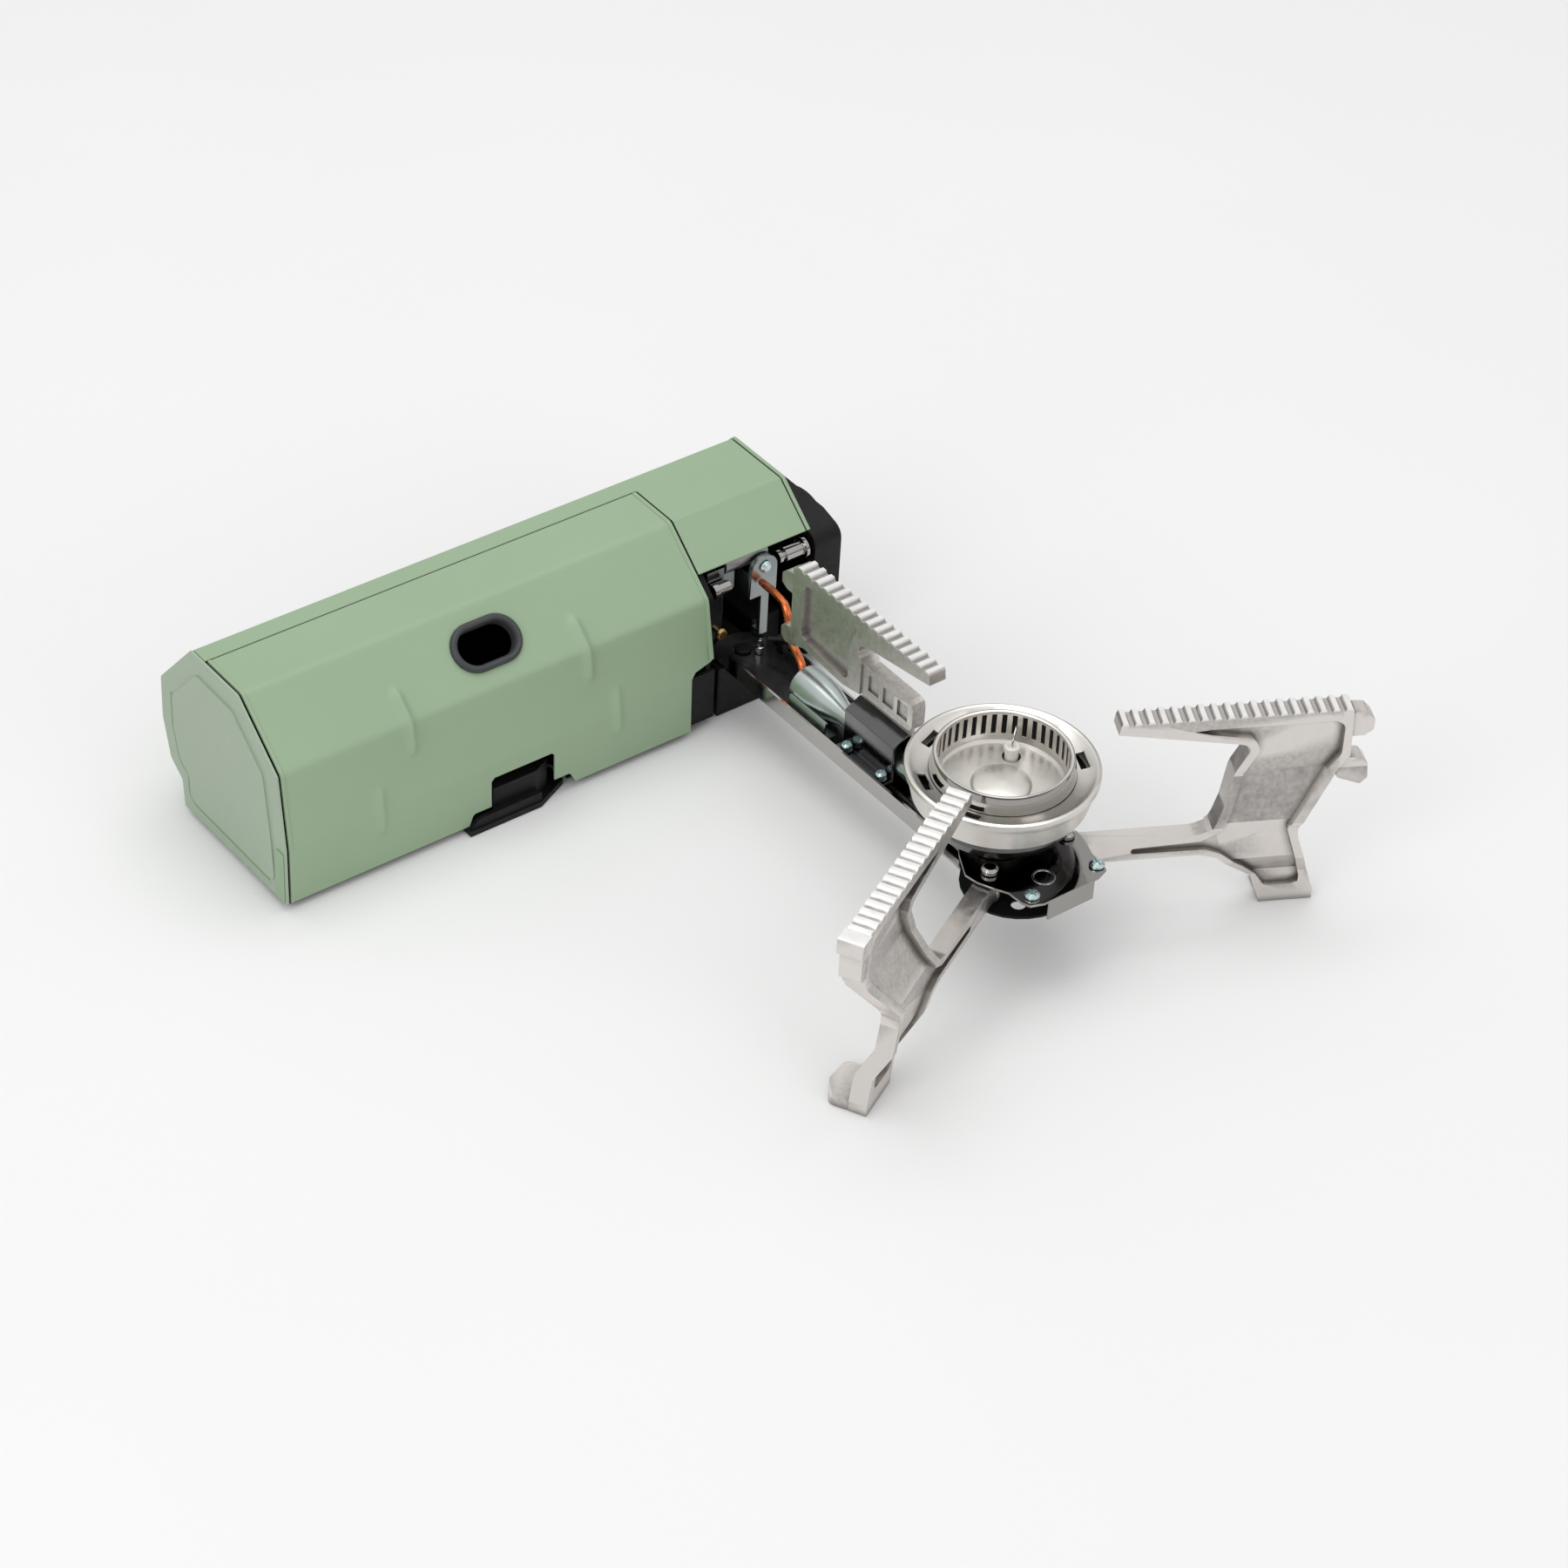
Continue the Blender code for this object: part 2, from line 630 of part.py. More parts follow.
def end_cover():
    """Black moulded end: a rounded cup, open towards the works, with the valve stem's hole."""
    outer = rounded([(153.8, 5.0), (153.8, 62.6), (166.0, 66.0), (205.0, 66.0), (222.0, 50.0),
                     (222.0, 22.0), (212.0, 5.0)], 6.0, 4)
    inner = rounded([(158.0, 9.0), (158.0, 57.0), (168.0, 61.5), (203.0, 61.5), (217.5, 48.0),
                     (217.5, 24.0), (209.0, 9.0)], 9.0, 5)
    cup = slab([outer], RIGHT + GAP, 46.4, ALONG_X)
    hollow = slab([inner], RIGHT - 1, 43.6, ALONG_X)
    hole = rod((30, CAN_Y, CAN_Z), (60, CAN_Y, CAN_Z), 5.0, 24)
    node("end_cover", combine(cup, [hollow, hole]), black_plastic, edge=0.5)


def control_knob():
    """Gas knob on the housing's right end with a raised grip bar, and its stem."""
    disc = turned([(0, 9.0), (15.5, 9.0), (17.0, 7.5), (17.0, 0), (0, 0)], 40, ALONG_X,
                  (46.9, CAN_Y, CAN_Z))
    grip = brick(54.0, 59.5, CAN_Y - 14.5, CAN_Y + 14.5, CAN_Z - 3.0, CAN_Z + 3.0)
    node("control_knob", combine(disc, [grip], "UNION"), black_plastic, (46.9, CAN_Y, CAN_Z), edge=0.4)
    node("valve_stem", rod((2.0 + GAP, CAN_Y, CAN_Z), (46.6, CAN_Y, CAN_Z), 3.0, 20), brass,
         (46.9, CAN_Y, CAN_Z))


# ---------------------------------------------------------------- arm

def arm_outline(half, tip):
    """Plan of the arm floor: straight sides, a round inner end and a round pad under the burner."""
    inner = [(half * math.cos(math.pi * k / 10), PIVOT[1] + 1.5 + half * 0.75 * math.sin(math.pi * k / 10))
             for k in range(11)]
    left = [(-half, 22.0)]
    pad = [(-tip * math.cos(math.radians(a)), -6.0 - tip * math.sin(math.radians(a)) + 8.0)
           for a in range(-20, 201, 20)]
    return inner + left + pad + [(half, 22.0)]


def arm_channel():
    """Stainless channel: floor, two side flanges and the pivot hole."""
    floor = slab([arm_outline(ARM_HALF, 13.0)], ARM_Z, ARM_Z + 1.0)
    walls = []
    for sign in (-1, 1):
        x0, x1 = sorted((sign * ARM_HALF, sign * (ARM_HALF - 1.0)))
        walls.append(brick(x0, x1, 14.0, 146.0, ARM_Z, ARM_Z + 7.4))
    post = turned([(0, 30.6), (1.0, 30.5), (1.3, 30.0), (1.3, 27.4), (1.9, 27.2), (1.9, 25.2),
                   (1.3, 25.0), (1.3, 23.6), (0, 23.6)], 6, ALONG_Z, (4.6, 148.4, 0))
    hole = rod((*PIVOT, 10), (*PIVOT, 40), 2.3, 20)
    node("arm_channel", combine(combine(floor, walls + [post], "UNION"), [hole]), stainless, (*PIVOT, 0))


def pivot_pin():
    shape = turned([(0, 26.0), (2.6, 25.9), (3.4, 25.3), (3.4, 24.6), (1.95, 24.6), (1.95, 2.0),
                    (0, 2.0)], 20,
                   ALONG_Z, (*PIVOT, 0))
    node("pivot_pin", shape, zinc, (*PIVOT, 0))


def mixing_tube():
    """Plated bell that draws in air, narrowing to the tube that feeds the burner."""
    profile = [(7.2, 0), (7.6, 0.5), (7.6, 10.0), (6.4, 17.0), (4.0, 26.0), (4.0, 79.0), (3.1, 79.0),
               (3.1, 26.3), (5.6, 16.6), (6.8, 9.6), (6.8, 0)]
    node("mixing_tube", turned(profile, 32, ALONG_Y, (0, 114.6, TUBE_Z)), zinc, (*PIVOT, 0))


def tube_saddle():
    """Plated strap under the bell, with a skirt that leans out to the channel wall."""
    base = ARM_Z + 1.0 + GAP
    skirt = slab([[(-10.8, base), (-3.0, base), (-3.0, base + 1.0), (-9.6, base + 1.2), (-7.7, 33.0),
                   (-8.9, 33.4)]],
                 90.0, 112.0, ALONG_Y)
    node("tube_saddle", skirt, zinc, (*PIVOT, 0))


def jet_holder():
    """Brass jet in the mouth of the bell, on a stand from the arm floor."""
    shape = turned([(0, 9.0), (0.8, 9.0), (1.4, 5.4), (2.6, 4.6), (2.6, 0), (0, 0)], 20, ALONG_Y,
                   (0, 117.6, TUBE_Z))
    stand = brick(-2.0, 2.0, 115.4, 117.4, ARM_Z + 1.0 + GAP, 32.5)
    node("jet_holder", combine(shape, [stand], "UNION"), brass, (*PIVOT, 0))


def gas_pipe():
    node("gas_pipe", pipe(PIPE_RUN, 1.6), copper, (*PIVOT, 0))


def tube_cover():
    """Dark polished roof over the tube, with a foot flange for the two screws."""
    base = 27.4
    roof = slab([[(-9.8, base), (-4.6, base), (-4.7, 43.0), (1.2, 46.4), (5.0, 44.4), (5.0, base),
                  (6.0, base), (6.0, 45.0), (1.2, 47.5), (-5.7, 43.7), (-5.7, base + 1.0),
                  (-9.8, base + 1.0)]],
                54.0, 83.0, ALONG_Y)
    holes = [rod((SCREW_X, y, 20), (SCREW_X, y, 35), 1.5, 12) for y in SCREW_Y]
    node("tube_cover", combine(roof, holes), dark_steel, (*PIVOT, 0))


def arm_screw(name, y):
    """Screw through the cover's flange into the arm floor."""
    low = ARM_Z + 1.0 + GAP
    shape = turned([(0, 7.7), (1.4, 7.6), (2.2, 6.8), (2.4, 5.8), (2.4, 4.5), (1.2, 4.5), (1.2, 0.0),
                    (0, 0)], 16,
                   ALONG_Z, (SCREW_X, y, low))
    slot = merged([brick(SCREW_X - 1.6, SCREW_X + 1.6, y - 0.3, y + 0.3, low + 6.9, low + 9)])
    cross = brick(SCREW_X - 0.3, SCREW_X + 0.3, y - 1.6, y + 1.6, low + 6.9, low + 9)
    node(name, combine(shape, [slot, cross]), zinc, (*PIVOT, 0))


# ---------------------------------------------------------------- burner

def burner_ring():
    """Rolled outer ring with its skirt, and the shelf to the cup with its air windows."""
    profile = [(32.6, 57.5), (34.5, 65.5), (35.5, 67.2), (RIM_R, 68.9), (35.6, 70.0), (34.6, RIM_Z),
               (33.6, 70.1), (31.2, 68.3), (26.9, 67.5), (26.9, 66.7), (31.4, 67.4), (33.1, 68.6),
               (33.4, 66.0), (31.7, 57.5)]
    ring = turned(profile, 64)
    slots = []
    for degrees in WINDOWS:
        slot = brick(28.0, 31.4, -4.6, 4.6, 60.0, 70.0)
        slot.transform(Matrix.Rotation(math.radians(degrees), 4, "Z"))
        slots.append(slot)
    node("burner_ring", combine(ring, [merged(slots)]), stainless, (*PIVOT, 0))


def burner_cup():
    """Inner cup: dished floor, polished outside, and a wall with flame slits on its inner side."""
    profile = [(0, 60.9), (9.0, 60.9), (22.6, 61.8), (23.6, 62.7), (24.2, 64.4), (24.0, 74.4),
               (24.3, 75.0), (25.2, CUP_Z), (25.7, 74.7), (26.5, 67.2), (26.5, 59.0), (22.0, 56.6),
               (0, 56.6)]
    cup = turned(profile, 80)
    slits = []
    for k in range(SLITS):
        slit = brick(23.0, 25.4, -0.9, 0.9, 65.2, 73.9)
        slit.transform(Matrix.Rotation(2 * math.pi * (k + 0.5) / SLITS, 4, "Z"))
        slits.append(slit)
    hole = rod((*SPARK, 50), (*SPARK, 70), 3.5, 20)
    node("burner_cup", combine(cup, [merged(slits), hole]), stainless, (*PIVOT, 0))


def burner_dome():
    shape = turned([(0, 62.4), (5.0, 62.3), (8.6, 62.0), (10.6, 61.7), (11.0, 61.3), (11.0, 61.2),
                    (0, 61.2)], 40)
    node("burner_dome", shape, stainless, (*PIVOT, 0))


def burner_pan():
    """Gas chamber under the cup, with the stub the mixing tube enters."""
    pan = turned([(0, 56.2), (29.5, 56.2), (29.5, 53.0), (27.0, 48.4), (21.0, 45.4), (0, 45.4)], 56)
    hole = rod((*SPARK, 40), (*SPARK, 60), 3.5, 20)
    node("burner_pan", combine(pan, [hole]), stainless, (*PIVOT, 0))


def tube_elbow():
    """Casting that turns the gas up from the tube into the chamber; also the burner's seat."""
    node("burner_seat", rod((0, 0, 45.0), (0, 0, 40.8), 12.5, 32), stainless, (*PIVOT, 0))
    box = brick(-8.5, 8.5, 9.4, 35.0, 26.0, 40.4)
    nose = brick(-8.5, 8.5, -6.0, 9.8, 29.2, 39.0)
    node("tube_elbow", combine(box, [nose], "UNION"), cast, (*PIVOT, 0), edge=1.6, segments=2)


def electrode():
    body = turned([(0, 65.6), (1.0, 65.4), (1.5, 66.2), (2.4, 66.8), (3.1, 66.2), (3.2, 64.8),
                   (2.6, 63.4), (2.6, 44.0), (0, 44.0)], 24, ALONG_Z, (*SPARK, 0))
    node("electrode_insulator", body, ceramic, (*PIVOT, 0))
    x, y = SPARK
    tip = pipe([(x, y, 66.0), (x, y, 67.6), (x + 1.6, y + 1.2, 69.6), (x + 4.4, y + 3.6, 70.6)], 0.45, 1, 2)
    node("electrode_tip", tip, stainless, (*PIVOT, 0))


def ignition_wire():
    run = [(*SPARK, 43.4), (12.7, 13.0, 42.2), (11.5, 24.0, 42.0), (10.9, 38.0, 40.0), (11.2, 60.0, 38.0),
           (11.2, 100.0, 38.0), (11.5, 124.0, 37.0), (11.0, 138.0, 34.0), (7.0, 146.5, 31.0)]
    node("ignition_wire", pipe(run, 0.9, 1, 2), rubber, (*PIVOT, 0))


# ---------------------------------------------------------------- bracket

def bracket_top():
    """Polished plate over the leg hinges, with ears for its screws and a skirt along its front edge."""
    right = [(12.6, PLATE_FRONT), (17.8, -40.6), (19.2, -37.6), (19.6, -30.5), (21.6, -25.0),
             (23.2, -17.8), (20.5, -6.0), (12.0, 9.0)]
    left = [(-12.0, 9.0), (-21.0, -4.0), (-26.2, -14.0), (-25.2, -20.0), (-22.2, -26.2), (-19.6, -30.5),
            (-19.2, -37.6), (-17.8, -40.6), (-12.6, PLATE_FRONT)]
    outline = right + left
    plate = slab([outline], PLATE_Z, PLATE_Z + PLATE_T)
    skirt = brick(-10.2, 11.0, PLATE_FRONT, PLATE_FRONT + 1.0, PLATE_Z - 8.0, PLATE_Z + 0.6)
    holes = [rod((sign * PIN[0], PIN[1], 30),
                 (sign * PIN[0], PIN[1], 50), PIN_R + GAP, 20) for sign in (-1, 1)]
    node("bracket_top", combine(combine(plate, [skirt], "UNION"), holes), stainless, (*PIVOT, 0))


def bracket_floor():
    outline = [(24.0 * math.cos(math.radians(a)), -16.0 + 21.5 * math.sin(math.radians(a)))
               for a in range(0, 360, 12)]
    holes = [circle(sign * PIN[0], PIN[1], PIN_R + GAP, 16) for sign in (-1, 1)]
    holes.append(circle(-11.0, -27.0, 2.7, 16))
    node("bracket_floor", slab([outline] + holes, FLOOR_Z - 0.9, FLOOR_Z + 0.3), dark_steel, (*PIVOT, 0))


def bracket_posts():
    """Spacers that hold the two bracket plates apart, each with its screw head on top."""
    places = {"bracket_screw_left": (-13.9, -36.8), "bracket_screw_right": (16.4, -36.8)}
    for name, (x, y) in places.items():
        head = turned([(0, 2.0), (1.6, 1.8), (2.9, 0.7), (2.9, 0), (0, 0)], 16, ALONG_Z,
                      (x, y, PLATE_Z + PLATE_T + GAP))
        slot = brick(x - 2, x + 2, y - 0.3, y + 0.3, PLATE_Z + 2.6, 50)
        cross = brick(x - 0.3, x + 0.3, y - 2, y + 2, PLATE_Z + 2.6, 50)
        node(name, combine(head, [slot, cross]), zinc, (*PIVOT, 0))


def hinge_pins():
    for name, sign in (("hinge_pin_two", -1), ("hinge_pin_three", 1)):
        shape = turned([(0, 15.4), (2.2, 15.2), (3.2, 14.2), (3.2, 12.8), (PIN_R, 12.8), (PIN_R, -1.4),
                        (2.8, -1.4), (2.8, -2.6), (0, -2.6)], 20, ALONG_Z,
                       (sign * PIN[0], PIN[1], FLOOR_Z))
        node(name, shape, stainless, (*PIVOT, 0))


# ---------------------------------------------------------------- legs

def tooth_row(start, end, z, count=TEETH):
    """Top edge of a leg: rounded ribs from the tip outwards."""
    row = []
    pitch = (end - start) / count
    for k in range(count):
        at = start + pitch * k
        row += [(at + 0.10 * pitch, z), (at + 0.24 * pitch, z + 1.3), (at + 0.62 * pitch, z + 1.3),
                (at + 0.80 * pitch, z)]
    return row


def swing_leg_outline():
    teeth = tooth_row(40.6, 128.6, 86.7)
    outer = eased([(128.6, 66.0), (123.0, 57.5), (109.6, 38.5), (121.4, 4.2)], 8.0)
    instep = eased([(101.2, 0.0), (98.0, 11.5), (89.0, 19.8), (81.0, 27.6), (74.0, 29.6),
                    (PIN_REACH, 29.6)], 7.0)
    inner = eased([(PIN_REACH, 38.8), (72.0, 39.0), (78.0, 41.5), (82.0, 49.5), (86.0, 62.0),
                   (91.0, 72.0), (88.5, 74.4), (40.6, 83.0)], 7.0)
    return teeth + outer + [(121.4, 0.0)] + instep + inner


def pocket_outline():
    return [(62.0, 82.6), (122.0, 82.6), (125.2, 80.0), (125.2, 67.0), (119.5, 58.5), (106.2, 39.5),
            (116.6, 7.6), (102.6, 7.6), (98.6, 13.5), (91.5, 21.5), (82.0, 29.6), (76.0, 32.0),
            (48.0, 32.4), (48.0, 34.8), (74.0, 36.0), (80.6, 39.6), (85.0, 48.0), (89.2, 61.0),
            (94.4, 71.4), (91.6, 77.0)]


def fixed_leg_outline():
    teeth = tooth_row(38.2, 118.6, 86.7, 16)
    lower = [(119.5, 86.0), (119.5, 53.0), (117.0, 51.4), (111.0, 53.6), (100.0, 53.0), (87.0, 52.2),
             (75.0, 54.2), (47.0, 54.8), (47.0, 67.9), (74.0, 68.2), (78.2, 69.6), (79.8, 72.4),
             (78.4, 75.4), (73.0, 77.4), (56.0, 80.0), (38.2, 82.8)]
    return teeth + eased(lower, 3.0)


def fixed_pocket_outline():
    return [(80.0, 82.6), (113.0, 82.6), (113.0, 58.0), (100.0, 56.4), (87.0, 55.6), (84.4, 57.0),
            (84.6, 70.0), (83.0, 76.6)]


def sheared(mesh):
    """Sideways steps of a swing leg: the hinge level is offset from the tooth bar, the foot less so."""
    levels = [(60.0, 0.0), (42.0, OFFSET), (24.5, OFFSET), (14.0, 2.0)]
    skin = bmesh.new()
    skin.from_mesh(mesh)
    for z, _ in levels:
        parts = list(skin.verts) + list(skin.edges) + list(skin.faces)
        bmesh.ops.bisect_plane(skin, geom=parts, dist=0.000001, plane_co=(0, 0, z * MM), plane_no=(0, 0, 1))
    for vert in skin.verts:
        z = vert.co.z / MM
        if z >= levels[0][0]:
            shift = 0.0
        elif z <= levels[-1][0]:
            shift = levels[-1][1]
        else:
            shift = 0.0
            for (za, sa), (zb, sb) in zip(levels, levels[1:]):
                if zb <= z <= za:
                    shift = sa + (sb - sa) * (za - z) / (za - zb)
        vert.co.y -= shift * MM
    skin.to_mesh(mesh)
    skin.free()
    return mesh


def nub(outline, half=3.6, rounding=1.0):
    return slab([rounded(outline, rounding)], -half, half, ALONG_Y)


def right_nubs():
    """Two rounded stops on the outer end of the right leg."""
    upper = [(128.0, 74.5), (133.0, 74.5), (136.2, 77.0), (136.2, 81.5), (133.0, 85.0), (128.0, 85.6)]
    lower = [(124.0, 56.8), (133.0, 54.0), (136.0, 56.0), (136.0, 61.0), (133.5, 64.0), (126.0, 65.0)]
    return [nub(upper), nub(lower)]


def left_nubs():
    """The left leg ends in a cap over an upright block."""
    cap = nub([(126.5, 80.8), (133.6, 80.8), (134.4, 83.0), (133.6, 87.8), (126.5, 87.8)], 4.9, 0.8)
    post = nub([(124.0, 69.6), (131.8, 69.6), (132.6, 71.0), (132.6, 81.4), (124.0, 81.4)], 4.2, 0.5)
    return [cap, post]


def arm_leg_nubs():
    upper = [(116.0, 74.0), (123.0, 74.0), (126.2, 75.8), (126.2, 80.0), (123.0, 82.6), (116.0, 83.4)]
    lower = [(116.0, 50.8), (122.6, 49.8), (125.2, 51.6), (125.2, 56.0), (122.6, 57.6), (116.0, 58.4)]
    return [nub(upper), nub(lower)]


def leg_solid(outline, pocket, half, nubs):
    """A cast leg lying along +X from the burner axis, pocketed on both faces to an I section."""
    pocket = rounded(pocket, 3.0, 2)
    body = slab([outline], -half, half, ALONG_Y)
    body = combine(body, nubs, "UNION")
    web = 1.3
    cuts = [slab([pocket], web, half + 2, ALONG_Y), slab([pocket], -half - 2, -web, ALONG_Y)]
    return combine(body, cuts)


def swing_leg(name, sign):
    """sign -1 gives the left leg, +1 the right one; they are mirror castings."""
    nubs = left_nubs() if sign < 0 else right_nubs()
    body = leg_solid(swing_leg_outline(), pocket_outline(), TOP_HALF, nubs)
    slim = []
    for side in (-1, 1):
        lo, hi = sorted((side * ARM_HALF_T, side * (TOP_HALF + 1)))
        slim.append(brick(0, 130, lo, hi, -1, 41))
    body = combine(body, slim)
    wing = slab([rounded([(101.2, -11.5), (112.0, -13.0), (121.4, -9.0), (121.4, 0), (101.2, 0)], 3.0)],
                0.0, 3.4)
    wing.transform(Matrix.Scale(-1, 4, (0, 1, 0)))
    wing.transform(Matrix.Translation((0, 2.0 * MM, 0)))
    fix = bmesh.new()
    fix.from_mesh(wing)
    bmesh.ops.recalc_face_normals(fix, faces=fix.faces)
    fix.to_mesh(wing)
    fix.free()
    eye = rod((PIN_REACH, 0, 29.6), (PIN_REACH, 0, 38.8), 4.6, 28)
    body = combine(body, [wing, eye], "UNION")
    body = combine(body, [rod((PIN_REACH, 0, 20), (PIN_REACH, 0, 50), PIN_R + GAP, 20)])
    body = sheared(body)
    if sign < 0:
        body.transform(Matrix.Scale(-1, 4, (0, 1, 0)))
        skin = bmesh.new()
        skin.from_mesh(body)
        bmesh.ops.reverse_faces(skin, faces=skin.faces)
        skin.to_mesh(body)
        skin.free()
    heading = math.pi / 2 - sign * LEG_TURN
    body.transform(Matrix.Rotation(heading, 4, "Z"))
    # The eye's own centre is moved onto the pin.
    eye_y = -OFFSET * sign
    eye_at = Matrix.Rotation(heading, 4, "Z") @ Vector((PIN_REACH, eye_y, 0))
    shift = Vector((sign * PIN[0] - eye_at.x, PIN[1] - eye_at.y, 0))
    body.transform(Matrix.Translation(shift * MM))
    node(name, body, cast, (sign * PIN[0], PIN[1], 0))


def fixed_leg():
    """Leg one stands over the arm, carried by a rib on the tube cover."""
    body = leg_solid(fixed_leg_outline(), fixed_pocket_outline(), 3.8, arm_leg_nubs())
    slim = []
    for side in (-1, 1):
        lo, hi = sorted((side * 3.0, side * 4.8))
        slim.append(brick(40, 77, lo, hi, 50, 68.6))
    windows = [brick(x, x + 6.0, 2.2, 4.0, 58.0, 65.0) for x in (50.0, 58.5, 67.0)]
    body = combine(body, slim + [merged(windows)])
    rib = brick(52.0, 80.0, -3.0, -1.8, 47.9, 55.5)
    body = combine(body, [rib], "UNION")
    body.transform(Matrix.Rotation(math.pi / 2, 4, "Z"))
    body.transform(Matrix.Translation((LEG_ONE_X * MM, 0, 0)))
    node("leg_one", body, cast, (*PIVOT, 0))


def build():
    clear_scene()
    fixed_shell()
    end_cap()
    cover()
    window_grommet()
    hinge_rod()
    base_tray()
    foot_centre()
    foot_left()
    foot_right()
    foot_back()
    canister_cradle()
    bulkhead()
    regulator()
    canister_magnets()
    inlet_nozzle()
    outlet_tab()
    outlet_strap()
    inner_fittings()
    pivot_block()
    igniter()
    end_cover()
    control_knob()
    arm_channel()
    pivot_pin()
    mixing_tube()
    tube_saddle()
    jet_holder()
    gas_pipe()
    tube_cover()
    arm_screw("arm_screw_inner", SCREW_Y[0])
    arm_screw("arm_screw_outer", SCREW_Y[1])
    burner_ring()
    burner_cup()
    burner_dome()
    burner_pan()
    tube_elbow()
    electrode()
    ignition_wire()
    bracket_top()
    bracket_floor()
    bracket_posts()
    hinge_pins()
    swing_leg("leg_two", -1)
    swing_leg("leg_three", 1)
    fixed_leg()


build()
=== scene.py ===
"""Canister stove on a pale floor: finishes, small detail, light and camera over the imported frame."""
import math

import bmesh
import bpy
from mathutils import Matrix, Vector


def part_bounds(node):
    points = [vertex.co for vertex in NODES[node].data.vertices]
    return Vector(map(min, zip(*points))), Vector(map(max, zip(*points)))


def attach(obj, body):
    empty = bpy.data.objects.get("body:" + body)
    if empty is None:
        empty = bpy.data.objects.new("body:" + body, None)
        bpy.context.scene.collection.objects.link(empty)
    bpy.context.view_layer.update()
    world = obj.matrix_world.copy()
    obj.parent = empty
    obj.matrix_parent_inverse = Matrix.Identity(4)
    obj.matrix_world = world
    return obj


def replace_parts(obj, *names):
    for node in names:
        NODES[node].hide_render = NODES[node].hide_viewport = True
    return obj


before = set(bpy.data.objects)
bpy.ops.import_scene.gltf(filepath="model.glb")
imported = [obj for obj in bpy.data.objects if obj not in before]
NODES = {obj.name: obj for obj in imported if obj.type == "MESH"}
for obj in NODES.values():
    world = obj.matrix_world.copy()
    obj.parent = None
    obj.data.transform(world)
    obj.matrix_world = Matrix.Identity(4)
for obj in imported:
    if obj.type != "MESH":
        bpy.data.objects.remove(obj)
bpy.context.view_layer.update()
MM = 0.001
CUP_LOW, CUP_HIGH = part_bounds("burner_cup")
# The burner axis: drawing coordinates below are millimetres from it, with the ground at z = 0.
AXIS = ((CUP_LOW[0] + CUP_HIGH[0]) / 2, (CUP_LOW[1] + CUP_HIGH[1]) / 2)

# Section of the folded housing, as (y, z) from the burner axis, front edge to hinge.
TOE, CHIN, KNEE, SHOULDER, HINGE = (144.7, 3.0), (145.2, 27.4), (149.7, 59.1), (175.1, 80.1), (197.9, 80.1)
LIP, BROW, BACK_TOP = (157.5, 65.6), (206.5, 80.1), (227.0, 56.4)
SHEET = 0.8
BEND_R, BEND_STEP = 5.0, 1.3
STATION_STEP = 4.0
# Pressed beads: x, the bend each crosses, half its run along the sheet, height.
BEADS = [(-155.5, "knee", 12.5, 2.0), (-76.5, "knee", 12.5, 2.0), (-171.0, "chin", 9.0, 1.5),
         (-64.8, "chin", 9.0, 1.5)]
BEAD_WIDTH, BEAD_FADE, BEAD_STEP = 1.9, 1.3, 0.6
# Lift of a hem and of a dark seam line of painted shade over the sheet, low side and high side.
HEM, SEAM_SHADE = (-0.9, 0.35), (-0.5, 0.06)
SHELL_HEM = (-0.9, 0.45)
STRIP_STEP, STRIP_EDGE = 6.0, 0.15
# Sight window: centre, half its straight run, radius of its ends.
WINDOW_X, WINDOW_HALF, WINDOW_R = -113.6, 5.2, 7.6
# Where the cuts in the cover's lower edge start and stop, as minus y.
CUT_BACK, CUT_FRONT = -150.2, -140.0
# Height of the raised panel on the end cap.
CAP_PANEL = 0.8
# Arm channel: its sheet, half the painted-shade liner's width, that liner's far end; a rail's two sides and
# its height.
CHANNEL_FLOOR, CHANNEL_HALF, CHANNEL_END = 1.0, 12.1, 146.4
RAIL_X0, RAIL_X1, RAIL_TALL = 10.3, 10.9, 4.6
# Where the bell meets the channel, the gap round the pivot pin, and the ring on the bracket plate.
BELL_END, PIN_CLEAR, BOSS_SPOT = 60.0, 0.3, (-3.7, -31.0)
FLAT = Matrix.Identity(4)
UPRIGHT = Matrix.Rotation(math.radians(90), 4, "X")
SIDEWAYS = Matrix(((0, 0, 1, 0), (1, 0, 0, 0), (0, 1, 0, 0), (0, 0, 0, 1)))

# Working ranges of the finish masks, among them the painted edge highlight and the painted recess shade.
NOISE_SPAN, SCUFF_SPAN = (0.3, 0.7), (0.58, 0.75)
RIDGE_SPAN, HOLLOW_SPAN = (0.52, 0.62), (0.50, 0.97)
HOLLOW_REACH, SCUFF_SIZE = 3.5, 9.0
# Near-white laid on the casting's ridge tops as painted highlight.
CREST_HIGHLIGHT = (0.93, 0.925, 0.91, 1.0)
WELD_GAP, FLAT_ANGLE, SHARP_ANGLE = 0.004, 0.6, 35
EDGE_WIDTH, EDGE_ANGLE, LEG_EDGE_ANGLE = 0.12, 28, 12

# Lamps: name, watts, width and height, place.
LAMPS = [("top_light", 11, (1.6, 1.2), (0.1, 0.35, 1.9)), ("left_light", 8, (0.9, 1.4), (-1.7, -0.5, 1.1)),
         ("front_light", 4, (1.0, 0.5), (0.3, -1.9, 0.9))]
LAMP_TARGET = Vector((0.02, 0.0, 0.03))
# Grey of the surroundings, from the floor's level (0) to overhead (1).
SKY = [(0.0, 0.55), (0.05, 0.24), (0.18, 0.36), (0.40, 0.92), (1.0, 1.0)]
SKY_STRENGTH = 0.80
FLOOR_SIZE, FLOOR_DROP = 6.0, -0.0002
EYE, TARGET = Vector((-0.8223, -1.01595, 1.0862)), Vector((0.01986, 0.01117, 0.01062))
ROLL, LENS, SENSOR, FAR = 3.41, 104.2, 36.0, 20


